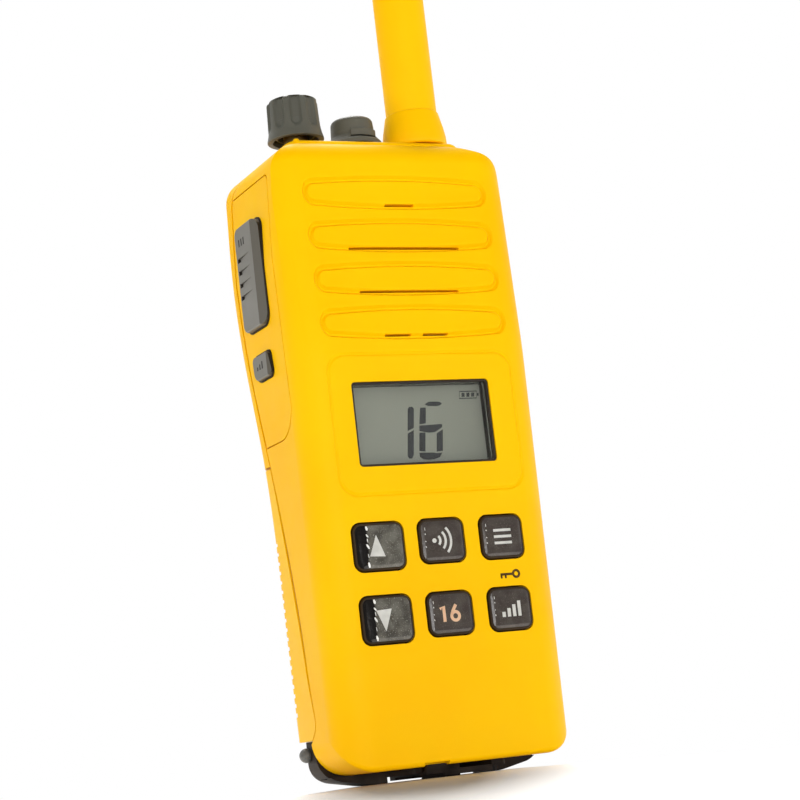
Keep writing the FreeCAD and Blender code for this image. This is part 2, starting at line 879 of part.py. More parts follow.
def chassis():
    """Cast frame: wall of the battery bay, a ledge above it and two uprights."""
    plate = prism(rectangle(-chassis_half_width, chassis_half_width, 13.0, 78.8, 3.0), "y",
                  chassis_front, chassis_back)
    ledge = box(-chassis_half_width, chassis_half_width, chassis_front, 8.2, 77.2, 78.8)
    frame = plate.fuse(ledge)
    for side in (-1, 1):
        rail = box(min(side * rail_inner, side * rail_outer), max(side * rail_inner, side * rail_outer),
                   rail_front, rail_back, 78.0, board_top)
        frame = frame.fuse(rail)
    frame = frame.fuse(box(-rail_outer, rail_outer, rail_front, rail_back, board_top - 2.4, board_top))
    for side in (-1, 1):
        frame = frame.cut(rod_along("y", side * lower_screw_x, lower_screw_z, -far, far, screw_radius + 0.1))
    return frame.removeSplitter()


def radio_board():
    """Main radio board in the head."""
    outline = rectangle(-rail_outer, rail_outer, radio_board_low, board_top, 1.5)
    return prism(outline, "y", rail_back + 0.05, radio_board_back)


def rf_shield():
    """Screening can on the back of the radio board."""
    can = box(-shield_half_width, shield_half_width, radio_board_back, shield_back, shield_low, shield_high)
    return soften(can, 1.0, at_depth(1, shield_back))


def speaker_frame():
    """Pressed steel basket of the loudspeaker."""
    mouth_radius = basket_radius - basket_wall
    rim = rod_along("y", 0, speaker_z, speaker_front, basket_front, speaker_radius)
    mouth = rod_along("y", 0, speaker_z, speaker_front - 0.1, basket_front, mouth_radius)
    basket = Part.makeCone(basket_radius, magnet_radius - 0.2, basket_depth,
                           Vector(0, basket_front, speaker_z), Vector(0, 1, 0))
    hollow = Part.makeCone(mouth_radius, magnet_radius - basket_wall, basket_depth,
                           Vector(0, basket_front, speaker_z), Vector(0, 1, 0))
    return lean(rim.fuse(basket).cut(hollow.fuse(mouth)))


def speaker_cone():
    """Paper cone and dust cap."""
    front = speaker_front + 0.3
    cone = Part.makeCone(cone_radius, cap_radius, cone_depth, Vector(0, front, speaker_z), Vector(0, 1, 0))
    back = Part.makeCone(cone_radius - 0.5, cap_radius - 0.6, cone_depth,
                         Vector(0, front - 0.3, speaker_z), Vector(0, 1, 0))
    cap = rod_along("y", 0, speaker_z, front + cone_depth - 0.9, front + cone_depth - 0.1, cap_radius + 0.2)
    return lean(cone.cut(back).fuse(cap))


def speaker_magnet():
    """Magnet and yoke behind the basket."""
    magnet_front = basket_front + basket_depth
    yoke = rod_along("y", 0, speaker_z, magnet_front, magnet_front + magnet_depth, magnet_radius)
    return lean(soften(yoke, 0.6, at_depth(1, magnet_front + magnet_depth)))


def speaker_cloth():
    """Waterproof membrane between louvres and speaker."""
    return lean(rod_along("y", 0, speaker_z, speaker_front - 0.5, speaker_front - 0.1, speaker_radius - 0.2))


def microphone():
    """Electret capsule behind the lowest louvre slit."""
    return lean(rod_along("y", microphone_x, microphone_z, -12.6, -10.0, microphone_radius))


# ---- top controls ----

def volume_control():
    """Rotary control body with a bushing that passes through the deck."""
    body = box(knob_x - control_half, knob_x + control_half,
               control_y - control_half, control_y + control_half, control_low, control_high)
    bushing = rod(knob_x, control_y, control_high, deck_top + 0.1, bushing_radius)
    bore = rod(knob_x, control_y, control_low + 1.2, deck_top + 1, shaft_radius + 0.05)
    return body.fuse(bushing).cut(bore)


def volume_seal():
    """Sealing ring round the bushing, under the top wall."""
    ring = rod(knob_x, control_y, control_high + 0.05, control_high + 0.4, bushing_radius + 0.7)
    return ring.cut(rod(knob_x, control_y, control_high - 1, control_high + 1, bushing_radius + 0.05))


def volume_shaft():
    """Turning shaft inside the bushing."""
    return rod(knob_x, control_y, control_low + 1.4, knob_top - knob_cover, shaft_radius)


def volume_knob():
    """Fluted knob with a flared skirt, hollow underneath."""
    profile = [
        (0.0, knob_bottom + 5.0), (0.0, knob_top), (knob_top_radius - 0.9, knob_top),
        (knob_top_radius - 0.25, knob_top - 0.3), (knob_top_radius, knob_top - 1.0),
        (knob_radius - 0.45, knob_bottom + 2.4), (knob_radius, knob_bottom + 0.2), (knob_radius, knob_bottom),
        (knob_radius - knob_wall, knob_bottom), (knob_radius - knob_wall, knob_bottom + 5.0),
    ]
    shell = revolve_profile(profile, knob_x, control_y)
    shell = shell.fuse(rod(knob_x, control_y, knob_bottom + 0.6, knob_top - 1.0, shaft_radius + 1.3))
    for index in range(knob_flutes):
        angle = math.radians(360.0 * index / knob_flutes + flute_start)
        x = knob_x + flute_reach * math.cos(angle)
        y = control_y + flute_reach * math.sin(angle)
        channel = rod(x, y, flute_low, knob_top + 1, flute_radius)
        shell = shell.cut(channel.fuse(Part.makeSphere(flute_radius, Vector(x, y, flute_low))))
    return shell.cut(rod(knob_x, control_y, knob_bottom - 1, knob_top - knob_cover, shaft_radius))


def jack_socket():
    """Socket for an outside speaker and microphone."""
    barrel = rod(jack_x, control_y, 142.0, deck_top - 0.1, jack_radius)
    nut = rod(jack_x, control_y, 148.6, 150.6, jack_radius + 1.2)
    return barrel.fuse(nut).cut(rod(jack_x, control_y, 143.0, far * 3, jack_bore))


def jack_cap():
    """Rubber cap with its plug, a wide skirt and a finger tab over a notch."""
    base = deck_top + control_lift
    profile = [
        (0.0, base), (cap_skirt_radius, base), (cap_skirt_radius, base + 0.6),
        (cap_skirt_radius - 0.3, base + 1.2), (cap_waist_radius + 0.2, cap_waist_z - 0.3),
        (cap_waist_radius, cap_waist_z),
        (cap_waist_radius - 0.2, cap_top - 1.2), (cap_waist_radius - 0.6, cap_top - 0.4),
        (cap_waist_radius - 1.6, cap_top), (0.0, cap_top),
    ]
    cap = revolve_profile(profile, jack_x, control_y)
    mouth = [(jack_x, control_y, 0)]
    for share in (0.0, 0.5, 1.0):
        angle = math.radians(cap_tab_start + cap_tab_span * share)
        mouth.append((jack_x + 2 * far * math.cos(angle), control_y + 2 * far * math.sin(angle), 0))
    wedge = prism(mouth, "z", 0, 2 * case_top)
    tab = rod(jack_x, control_y, cap_tab_low, cap_tab_high, cap_tab_radius).common(wedge)
    notch = rod(jack_x, control_y, cap_notch_low, cap_tab_low, 2 * cap_skirt_radius)
    core = rod(jack_x, control_y, cap_notch_low - 1, cap_tab_low + 1, cap_notch_radius)
    notch = notch.cut(core).common(wedge)
    plug = rod(jack_x, control_y, 146.0, base + 0.3, jack_bore - 0.08)
    return cap.fuse(tab).cut(notch).fuse(plug)


def antenna_socket():
    """Metal socket under the antenna."""
    barrel = rod(antenna_x, control_y, 150.0, deck_top - 0.2, antenna_socket_radius)
    flange = rod(antenna_x, control_y, 146.8, 148.6, antenna_socket_radius + 0.5)
    lower = rod(antenna_x, control_y, 148.0, 150.5, antenna_socket_radius)
    return barrel.fuse([flange, lower]).cut(rod(antenna_x, control_y, 148.8, far * 3, 2.6))


def antenna_base():
    """Moulded collar of the antenna with its metal pin."""
    base = deck_top + control_lift
    profile = [
        (0.0, base), (collar_radius - 0.25, base), (collar_radius, base + 0.5), (collar_radius - 0.1, 158.2),
        (collar_radius - 0.45, 160.4), (collar_radius - 1.0, 162.8), (mast_radius + 0.3, collar_top),
        (0.0, collar_top),
    ]
    collar = revolve_profile(profile, antenna_x, control_y)
    return collar.fuse(rod(antenna_x, control_y, 149.4, base + 0.3, 2.55))


def antenna_whip():
    """Flexible covered whip, straight and then gently tapered to a round tip."""
    profile = [
        (0.0, collar_top), (mast_radius, collar_top), (mast_radius, mast_taper_start),
        (mast_tip_radius, antenna_top - mast_tip_radius), (0.0, antenna_top - mast_tip_radius),
    ]
    mast = revolve_profile(profile, antenna_x, control_y)
    tip = Part.makeSphere(mast_tip_radius, Vector(antenna_x, control_y, antenna_top - mast_tip_radius))
    return mast.fuse(tip)


# ---- battery pack ----

def battery_shell(outer):
    """Outer shell of the battery pack with gripping ribs on its rear corners."""
    slab = box(-far, far, -far, far, pack_bottom, pack_top)
    shell = outer.common(slab).cut(seam_zone(seam_gap, seam_bulge))
    inside = box(-far, far, -far, far, pack_bottom + pack_wall, pack_top - pack_wall)
    shell = shell.cut(body_form(pack_wall).common(inside))
    skin = outer.cut(body_form(pack_rib_depth))
    bands = []
    for index in range(pack_rib_count):
        z = pack_rib_low + index * pack_rib_pitch
        for side in (-1, 1):
            bands.append(box(min(side * pack_rib_x, side * far), max(side * pack_rib_x, side * far),
                             pack_rib_y, far, z, z + pack_rib_height))
    return largest(shell.cut(skin.common(Part.makeCompound(bands))))


def battery_lid():
    """Inner tray of the battery pack that faces the chassis."""
    low = pack_bottom + pack_wall + 0.05
    high = pack_top - pack_wall - 0.05
    tray = prism(rectangle(-lid_half_width, lid_half_width, low, high, 2.0), "y", lid_front, 10.0)
    hollow = prism(rectangle(-lid_half_width + lid_wall, lid_half_width - lid_wall, low + lid_wall,
                             high - lid_wall, 1.0), "y", lid_front + lid_wall, 11.0)
    tray = tray.cut(hollow)
    for x in contact_x:
        tray = tray.cut(contact_pad(x, lid_front - 1))
    return tray


def contact_pad(x, front):
    """Block of one contact pad, from a front face to the bottom of its pocket."""
    return box(x - pad_half_width, x + pad_half_width, front, lid_front + pad_thickness,
               contact_z - pad_half_height, contact_z + pad_half_height)


def battery_cells():
    """Two flat lithium cells side by side."""
    cells = []
    for side in (-1, 1):
        middle = side * (cell_width / 2 + 0.3)
        cells.append(box(middle - cell_width / 2, middle + cell_width / 2, 0.2, 0.2 + cell_depth,
                         cell_low, cell_low + cell_height))
    return Part.makeCompound(cells)


def pack_contacts():
    """Flat contact pads in the pack."""
    return Part.makeCompound([contact_pad(x, lid_front + 0.05) for x in contact_x])


def chassis_contacts():
    """Spring contacts on the chassis that meet the pack's pads."""
    springs = []
    for x in contact_x:
        profile = [(chassis_back, contact_z - 3.0, 0), (chassis_back + 0.9, contact_z - 0.6, 0.3),
                   (chassis_back + 0.9, contact_z + 0.6, 0.3), (chassis_back, contact_z + 3.0, 0)]
        springs.append(prism(profile, "x", x - 1.1, x + 1.1))
    return Part.makeCompound(springs)


# ---- base ----

def mirrored(block_low, block_high, y_low, y_high, z_low, z_high):
    """Pair of blocks at the same distance left and right of the middle."""
    right = box(block_low, block_high, y_low, y_high, z_low, z_high)
    left = box(-block_high, -block_low, y_low, y_high, z_low, z_high)
    return right.fuse(left)


def base_guard():
    """Fixed guard under the pack: corner blocks round the latch axle, rails beside the latch, a middle foot."""
    corner_low = sole_low + sole_rise
    outline = [(-guard_half_width, corner_low, guard_radius), (-sole_half_flat, sole_low, sole_round),
               (sole_half_flat, sole_low, sole_round), (guard_half_width, corner_low, guard_radius),
               (guard_half_width, guard_top, 0.6), (-guard_half_width, guard_top, 0.6)]
    plan = [(-guard_half_width, guard_side_front, 2.0), (-rail_half_width, 0.0, 3.0),
            (-rail_half_width + 2.0, guard_front, 1.0), (rail_half_width - 2.0, guard_front, 1.0),
            (rail_half_width, 0.0, 3.0), (guard_half_width, guard_side_front, 2.0),
            (guard_half_width, guard_rear, 3.0), (-guard_half_width, guard_rear, 3.0)]
    blank = prism(outline, "y", guard_front, guard_rear).common(prism(plan, "z", -1.0, guard_top + 1))
    sole_top = case_bottom - 0.1
    guard = blank.common(box(-far, far, -far, far, -1.0, sole_top)).fuse(blank.common(guard_zone(guard_gap)))
    guard = guard.cut(mirrored(guard_pocket_inner, guard_pocket_outer, 5.0, 9.1, 2.4, far))
    guard = guard.cut(mirrored(latch_right, rail_half_width, -far, far, -1.0, rail_low))
    channel_left = latch_left - latch_gap
    channel_right = latch_right + latch_gap
    guard = guard.cut(box(channel_left, channel_right, -far, far, -1.0, far))
    wall_front = guard_seam_y + guard_gap
    guard = guard.fuse(box(channel_left, channel_right, wall_front, foot_rear, 3.4, guard_top))
    guard = guard.fuse(box(foot_left, foot_right, foot_front, foot_rear, 0.0, sole_top))
    guard = guard.fuse(box(foot_left, foot_right, wall_front, foot_rear, 0.0, 4.0))
    return guard.cut(rod_along("x", pivot_y, pivot_z, -far, far, axle_radius)).removeSplitter()


def latch_axle():
    """Axle of the latch with a round head at each end."""
    axle = rod_along("x", pivot_y, pivot_z, -axle_half_length, axle_half_length, axle_radius)
    for side in (-1, 1):
        head = Part.makeSphere(axle_head_radius, Vector(side * axle_half_length, pivot_y, pivot_z))
        axle = axle.fuse(head.cut(box(-guard_half_width - 0.05, guard_half_width + 0.05, 0, far, 0, far)))
    return axle


def battery_latch():
    """Swinging latch: hub on the axle, web, sole plate and a tongue in the front case's notch."""
    hub = rod_along("x", pivot_y, pivot_z, latch_left, latch_right, latch_hub_radius)
    web = box(latch_left, latch_right, pivot_y - 1.0, pivot_y + 1.0, 0.5, pivot_z)
    plate = box(latch_left, latch_right, latch_front, pivot_y + 1.0, latch_plate_low, latch_plate_top)
    arm = box(tongue_left, tongue_right, tongue_front, latch_front + 0.6, tongue_low, latch_plate_top)
    tongue_outline = rectangle(tongue_left, tongue_right, tongue_low, tongue_high, tongue_corner)
    tongue = prism(tongue_outline, "y", tongue_front, tongue_back)
    finger_recess = box(tongue_left - 1, tongue_right, tongue_front, pivot_y - 2.0, 0.0, tongue_low)
    slot = box(foot_left - 0.5, foot_right + 0.5, foot_front - 1.2, foot_rear + 0.8, 0.0, 2.0)
    bore = rod_along("x", pivot_y, pivot_z, latch_left - 1, latch_right + 1, axle_radius + 0.05)
    latch = hub.fuse([web, plate, arm, tongue])
    return latch.cut(finger_recess).cut(slot).cut(bore).removeSplitter()


def main():
    """Build every part and write one STEP file for each."""
    outer = outside_form()
    inner = body_form(wall)
    panel_floor = body_form(panel_depth)
    parts = {
        "front_case": front_case(outer, inner, panel_floor),
        "rear_case": rear_case(outer, inner),
        "case_gasket": case_gasket(),
        "side_panel": side_panel(outer, panel_floor),
        "case_screws": case_screws(),
        "clip_inserts": clip_inserts(),
        "chassis": chassis(),
        "chassis_contacts": chassis_contacts(),
        "control_board": control_board(),
        "radio_board": radio_board(),
        "rf_shield": rf_shield(),
        "keypad_mat": keypad_mat(),
        "key_switches": key_switches(),
        "ptt_button": ptt_button(),
        "ptt_switch": side_switch(ptt_switch_z, 3.0),
        "squelch_button": squelch_button(),
        "squelch_switch": side_switch(squelch_switch_z, 2.6),
        "side_board": side_board(),
        "lcd_frame": lcd_frame(),
        "display_lens": display_lens(),
        "lcd_panel": lcd_panel(),
        "light_guide": light_guide(),
        "speaker_frame": speaker_frame(),
        "speaker_cone": speaker_cone(),
        "speaker_magnet": speaker_magnet(),
        "speaker_cloth": speaker_cloth(),
        "microphone": microphone(),
        "volume_control": volume_control(),
        "volume_seal": volume_seal(),
        "volume_shaft": volume_shaft(),
        "volume_knob": volume_knob(),
        "jack_socket": jack_socket(),
        "jack_cap": jack_cap(),
        "antenna_socket": antenna_socket(),
        "antenna_base": antenna_base(),
        "antenna_whip": antenna_whip(),
        "battery_shell": battery_shell(outer),
        "battery_lid": battery_lid(),
        "battery_cells": battery_cells(),
        "pack_contacts": pack_contacts(),
        "base_guard": base_guard(),
        "latch_axle": latch_axle(),
        "battery_latch": battery_latch(),
    }
    for key in keys:
        parts[key[0]] = key_cap(key)
    os.makedirs("parts", exist_ok=True)
    for name, shape in parts.items():
        shape.exportStep("parts/" + name + ".step")
        print(name, "solids", len(shape.Solids), "volume", round(shape.Volume, 1), "valid", shape.isValid())


if __name__ == "__main__":
    main()
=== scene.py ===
"""Looks of a handheld marine radio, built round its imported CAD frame.

Places are in metres, sizes in millimetres.
"""

import logging
import math
from collections.abc import Callable, Iterable, Sequence
from dataclasses import dataclass, replace
from enum import Enum

import bmesh
import bpy
from mathutils import Matrix, Vector
from mathutils.bvhtree import BVHTree


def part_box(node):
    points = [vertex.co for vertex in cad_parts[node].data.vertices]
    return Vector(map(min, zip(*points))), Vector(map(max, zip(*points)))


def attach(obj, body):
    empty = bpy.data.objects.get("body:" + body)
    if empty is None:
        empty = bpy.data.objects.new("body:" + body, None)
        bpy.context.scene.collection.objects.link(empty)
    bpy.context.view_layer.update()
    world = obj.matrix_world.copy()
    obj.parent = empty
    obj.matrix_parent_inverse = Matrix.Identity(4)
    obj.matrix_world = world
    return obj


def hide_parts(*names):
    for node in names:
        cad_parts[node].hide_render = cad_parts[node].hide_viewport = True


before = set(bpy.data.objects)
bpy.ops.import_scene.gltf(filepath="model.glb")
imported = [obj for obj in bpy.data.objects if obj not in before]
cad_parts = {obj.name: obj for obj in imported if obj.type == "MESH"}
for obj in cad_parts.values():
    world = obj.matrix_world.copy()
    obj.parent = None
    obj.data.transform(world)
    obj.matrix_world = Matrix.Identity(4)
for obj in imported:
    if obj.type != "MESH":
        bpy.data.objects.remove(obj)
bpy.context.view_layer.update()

MM = 0.001
LOG = logging.getLogger("radio")

Point2 = tuple[float, float]
Point3 = tuple[float, float, float]
Ring = list[Vector]
Cell = list[Point2]
Tree = bpy.types.NodeTree
Node = bpy.types.Node
Socket = bpy.types.NodeSocket
Piece = bpy.types.Object
Shape = bmesh.types.BMesh

# Blender's names of the nodes that are used most.
MATH = "ShaderNodeMath"
VECTOR_MATH = "ShaderNodeVectorMath"
MAP_RANGE = "ShaderNodeMapRange"
MIX = "ShaderNodeMix"
BUMP = "ShaderNodeBump"
SPLIT = "ShaderNodeSeparateXYZ"
COORDINATES = "ShaderNodeTexCoord"


class Body(Enum):
    """Bodies that the pieces ride on."""

    CASE = "case"
    KNOB = "volume_knob"
    CAP = "jack_cap"
    ANTENNA = "antenna"
    PACK = "battery_pack"
    LATCH = "battery_latch"
    TALK = "ptt_button"
    SQUELCH = "squelch_button"


class Slot(Enum):
    """Material slots of the record."""

    YELLOW = "yellow_shell"
    SEAL = "orange_seal"
    STEEL = "steel"
    BRASS = "brass"
    CAST = "cast_frame"
    CONTACT = "contact_metal"
    BOARD = "circuit_board"
    SILICONE = "silicone"
    SIDE_RUBBER = "side_rubber"
    BLACK = "black_plastic"
    DISPLAY_FRAME = "display_frame"
    LENS = "clear_lens"
    LCD = "lcd_glass"
    PAPER = "paper_cone"
    KNOB = "knob_plastic"
    CAP = "cap_rubber"
    ANTENNA = "antenna_cover"
    CELL = "cell_wrap"
    GUARD = "guard_plastic"
    AXLE = "axle_grey"
    KEY = "key_gloss"


class Symbol(Enum):
    """What a front key is marked with."""

    UP = "up"
    DOWN = "down"
    WAVES = "waves"
    STACK = "stack"
    SIXTEEN = "sixteen"
    STEPS = "steps"


# ---------------------------------------------------------------- node helper and colours

def linear(colour: str) -> tuple[float, float, float, float]:
    """Linear colour of an sRGB hex value.

    Args:
        colour: Six hex digits.

    Returns:
        Red, green, blue and an alpha of 1.
    """
    values = []
    for start in (0, 2, 4):
        share = int(colour[start:start + 2], 16) / 255
        values.append(share / 12.92 if share <= 0.04045 else ((share + 0.055) / 1.055) ** 2.4)
    return values[0], values[1], values[2], 1.0


def add_node(tree: Tree, kind: str, inputs: dict | None = None, **settings: object) -> Node:
    """Add a node with its settings, values and links.

    Args:
        tree: The tree that gets the node.
        kind: Blender's name of the node type.
        inputs: Socket name or number, with a value, or the output or the node that feeds it.
        settings: Properties of the node.

    Returns:
        The new node.
    """
    node = tree.nodes.new(kind)
    for name, value in settings.items():
        setattr(node, name, value)
    for name, value in (inputs or {}).items():
        if isinstance(value, Node):
            value = next(output for output in value.outputs if output.enabled)
        if isinstance(value, Socket):
            tree.links.new(value, node.inputs[name])
        else:
            node.inputs[name].default_value = value
    return node


# ---------------------------------------------------------------- finishes

@dataclass(frozen=True)
class Finish:
    """A moulded, painted or coated surface with a fine grain, and the base of the other finishes.

    The colour drifts a little towards a second colour over a few centimetres, as pigment does in a moulding,
    and a fine bump of the tool's texture breaks up the gloss.
    """

    name: str
    slot: Slot
    colour: str
    drift_colour: str
    roughness: float
    roughness_spread: float = 0.06
    specular: float = 0.5
    ior: float = 1.5
    metallic: float = 0.0
    drift_mm: float = 30.0
    drift_span: Point2 = (0.35, 0.65)
    patch_mm: float = 6.0
    patch_span: Point2 = (0.3, 0.7)
    grain_mm: float = 0.25
    grain_depth_mm: float = 0.004
    grain_strength: float = 0.5

    def material(self) -> bpy.types.Material:
        """Make the material of this finish, once.

        Returns:
            The material.
        """
        known = bpy.data.materials.get(self.name)
        if known:
            return known
        material = bpy.data.materials.new(self.name)
        material.use_nodes = True
        tree = material.node_tree
        tree.nodes.clear()
        shader = add_node(tree, "ShaderNodeBsdfPrincipled", {
            "Base Color": linear(self.colour), "Roughness": self.roughness, "Metallic": self.metallic,
            "IOR": self.ior, "Specular IOR Level": self.specular})
        self.dress(tree, shader, add_node(tree, COORDINATES).outputs["Object"])
        add_node(tree, "ShaderNodeOutputMaterial", {"Surface": shader})
        return material

    def dress(self, tree: Tree, shader: Node, place: Socket) -> None:
        """Give the shader its colour, roughness and bump.

        Args:
            tree: The material's node tree.
            shader: The Principled shader.
            place: Object coordinates.
        """
        drift = self.noise(tree, place, self.drift_mm, detail=3.0)
        self.tint(tree, shader, drift, self.drift_span, self.drift_colour)
        fine, patches = (self.noise(tree, place, size) for size in (self.grain_mm, self.patch_mm))
        self.relief(tree, shader, fine, patches)

    def noise(self, tree: Tree, place: Socket | Node, size_mm: float, detail: float = 2.0) -> Node:
        """Noise whose blobs are about a given size across.

        Args:
            tree: The material's node tree.
            place: Object coordinates.
            size_mm: Size of one blob.
            detail: Number of finer layers.

        Returns:
            The texture.
        """
        scale = 1.0 / (size_mm * MM)
        return add_node(tree, "ShaderNodeTexNoise", {"Vector": place, "Scale": scale, "Detail": detail})

    def tint(self, tree: Tree, shader: Node, value: Socket | Node, span: Point2, colour: str) -> None:
        """Lay a colour over the shader's present one where a value runs through a span.

        Args:
            tree: The material's node tree.
            shader: The Principled shader.
            value: The value, such as a texture.
            span: Values at which the colour starts and is full.
            colour: The colour to lay over.
        """
        base = shader.inputs["Base Color"]
        under = base.links[0].from_socket if base.links else base.default_value[:]
        share = add_node(tree, MAP_RANGE, {"Value": value, "From Min": span[0], "From Max": span[1]})
        mix = add_node(tree, MIX, {"Factor": share, "A": under, "B": linear(colour)}, data_type="RGBA")
        tree.links.new(mix.outputs["Result"], base)

    def relief(self, tree: Tree, shader: Node, fine: Node, patches: Node) -> None:
        """Give the shader a bump from one texture and a roughness that varies with another.

        Args:
            tree: The material's node tree.
            shader: The Principled shader.
            fine: Texture of the bump.
            patches: Texture of the roughness.
        """
        rough = add_node(tree, MAP_RANGE, {
            "Value": patches, "From Min": self.patch_span[0], "From Max": self.patch_span[1],
            "To Min": self.roughness - self.roughness_spread,
            "To Max": self.roughness + self.roughness_spread})
        bump = add_node(tree, BUMP, {
            "Height": fine, "Strength": self.grain_strength, "Distance": self.grain_depth_mm * MM})
        tree.links.new(rough.outputs[0], shader.inputs["Roughness"])
        tree.links.new(bump.outputs[0], shader.inputs["Normal"])


@dataclass(frozen=True)
class BrushedMetal(Finish):
    """Turned, plated or ground metal: fine parallel scratches stretch its highlights."""

    metallic: float = 1.0
    drift_mm: float = 4.0
    drift_span: Point2 = (0.4, 0.7)
    patch_span: Point2 = (0.0, 1.0)
    grain_strength: float = 0.4
    scratch_mm: float = 0.12
    scratch_stretch: float = 0.04

    def dress(self, tree: Tree, shader: Node, place: Socket) -> None:
        """Scratches that run along X, on top of a slight stain.

        Args:
            tree: The material's node tree.
            shader: The Principled shader.
            place: Object coordinates.
        """
        stain = self.noise(tree, place, self.drift_mm)
        self.tint(tree, shader, stain, self.drift_span, self.drift_colour)
        stretched = add_node(tree, "ShaderNodeMapping", {
            "Vector": place, "Scale": (self.scratch_stretch, 1.0, 1.0)})
        scratches = self.noise(tree, stretched, self.scratch_mm)
        self.relief(tree, shader, scratches, scratches)


@dataclass(frozen=True)
class MottledResin(Finish):
    """Clear resin over a speckled dark film: light flecks deep in the colour, and a wet, uneven gloss."""

    drift_mm: float = 3.2
    drift_span: Point2 = (0.36, 0.64)
    fleck_mm: float = 0.35
    fleck_span: Point2 = (0.6, 0.74)
    fleck_colour: str = "8C8880"
    wave_mm: float = 0.9
    wave_depth_mm: float = 0.02

    def dress(self, tree: Tree, shader: Node, place: Socket) -> None:
        """Clouds of grey, small flecks, and waves in the poured surface.

        Args:
            tree: The material's node tree.
            shader: The Principled shader.
            place: Object coordinates.
        """
        clouds = self.noise(tree, place, self.drift_mm, detail=4.0)
        self.tint(tree, shader, clouds, self.drift_span, self.drift_colour)
        flecks = self.noise(tree, place, self.fleck_mm, detail=1.0)
        self.tint(tree, shader, flecks, self.fleck_span, self.fleck_colour)
        waves = add_node(tree, BUMP, {
            "Height": self.noise(tree, place, self.wave_mm), "Strength": 1.0,
            "Distance": self.wave_depth_mm * MM})
        tree.links.new(waves.outputs[0], shader.inputs["Normal"])


@dataclass(frozen=True)
class ResinWithPaintedReflection(MottledResin):
    """Mottled resin with a painted dark reflection: almost black to the left of a line, where the cap falls
    away.
    """

    painted_reflection_dark: str = "14110F"
    line_x: float = 0.0
    line_slant: float = -0.03
    line_z: float = 0.05
    line_dark: float = 0.0002
    line_light: float = 0.0004
    ragged: float = 0.0012
    ragged_mm: float = 0.7

    def dress(self, tree: Tree, shader: Node, place: Socket) -> None:
        """The mottled film, with a painted dark reflection to the left of a slightly ragged, slanted line.

        Args:
            tree: The material's node tree.
            shader: The Principled shader.
            place: Object coordinates.
        """
        super().dress(tree, shader, place)
        parts = add_node(tree, SPLIT, {"Vector": place}).outputs
        lean = add_node(tree, MATH, {0: parts["Z"], 1: self.line_slant, 2: parts["X"]},
                        operation="MULTIPLY_ADD")
        edge = add_node(tree, MATH, {
            0: self.noise(tree, place, self.ragged_mm), 1: self.ragged, 2: lean}, operation="MULTIPLY_ADD")
        line = self.line_x + self.line_z * self.line_slant + self.ragged / 2
        # Painted dark reflection: near black to the left of the line.
        self.tint(tree, shader, edge, (line + self.line_light, line - self.line_dark), self.painted_reflection_dark)


@dataclass(frozen=True)
class RubberWithPaintedShade(Finish):
    """Moulded rubber with painted shade: darker on the bevel that faces the front, near black on walls that
    face it squarely.
    """

    bevel_shade_colour: str = "59554C"
    bevel_span: Point2 = (-0.2, -0.42)
    wall_shade_colour: str = "262016"
    wall_span: Point2 = (-0.8, -0.9)

    def dress(self, tree: Tree, shader: Node, place: Socket) -> None:
        """The grained rubber, with painted shade where the surface turns to the front.

        Args:
            tree: The material's node tree.
            shader: The Principled shader.
            place: Object coordinates.
        """
        super().dress(tree, shader, place)
        normal = add_node(tree, "ShaderNodeNewGeometry").outputs["Normal"]
        forward = add_node(tree, SPLIT, {"Vector": normal}).outputs["Y"]
        # Painted shade: darker bevel, near-black front wall.
        self.tint(tree, shader, forward, self.bevel_span, self.bevel_shade_colour)
        self.tint(tree, shader, forward, self.wall_span, self.wall_shade_colour)


@dataclass(frozen=True)
class ClearPlastic(Finish):
    """Clear moulded acrylic: see-through, with the faintest ripple in its gloss."""

    ripple_mm: float = 8.0
    grain_strength: float = 0.3

    def dress(self, tree: Tree, shader: Node, place: Socket) -> None:
        """Full transmission with a long, shallow ripple.

        Args:
            tree: The material's node tree.
            shader: The Principled shader.
            place: Object coordinates.
        """
        shader.inputs["Transmission Weight"].default_value = 1.0
        bump = add_node(tree, BUMP, {
            "Height": self.noise(tree, place, self.ripple_mm), "Strength": self.grain_strength,
            "Distance": self.grain_depth_mm * MM})
        tree.links.new(bump.outputs[0], shader.inputs["Normal"])


@dataclass(frozen=True)
class DisplayGlass(Finish):
    """Liquid crystal glass over a reflector: grey-green, brighter to the left, with a silvery speckle."""

    left_x: float = -0.017
    right_x: float = 0.017
    speckle: float = 0.14
    speckle_mm: float = 0.16

    def dress(self, tree: Tree, shader: Node, place: Socket) -> None:
        """A slow change from left to right and the reflector's speckle.

        Args:
            tree: The material's node tree.
            shader: The Principled shader.
            place: Object coordinates.
        """
        across = add_node(tree, MAP_RANGE, {
            "Value": add_node(tree, SPLIT, {"Vector": place}).outputs["X"],
            "From Min": self.left_x, "From Max": self.right_x})
        speckle = add_node(tree, MAP_RANGE, {
            "Value": self.noise(tree, place, self.speckle_mm), "From Min": self.patch_span[0],
            "From Max": self.patch_span[1], "To Min": -self.speckle, "To Max": self.speckle})
        share = add_node(tree, MATH, {0: across, 1: speckle}, operation="ADD")
        self.tint(tree, shader, share, (0.0, 1.0), self.drift_colour)


# Polycarbonate blend, injection moulded in a spark-eroded tool: flat, even yellow with a satin skin that only
# turns milky where it is seen at a low angle.
YELLOW_SHELL = Finish("satin_yellow_polycarbonate", Slot.YELLOW, "FFC000", "FFC602", 0.40, specular=0.04,
                      grain_mm=0.22, grain_depth_mm=0.0035)
# The pack is moulded from another batch of the same blend and has been handled more, so it is a touch paler.
PACK_SHELL = Finish("satin_yellow_pack", Slot.YELLOW, "FFC403", "FFCA0C", 0.42, specular=0.1,
                    grain_mm=0.22, grain_depth_mm=0.0035)
# Antenna cover: thermoplastic polyurethane over the whip, slightly deeper yellow, softer gloss.
ANTENNA_COVER = Finish("yellow_polyurethane_cover", Slot.ANTENNA, "FFC000", "FFC704", 0.44, specular=0.06,
                       grain_mm=0.3, grain_depth_mm=0.003)
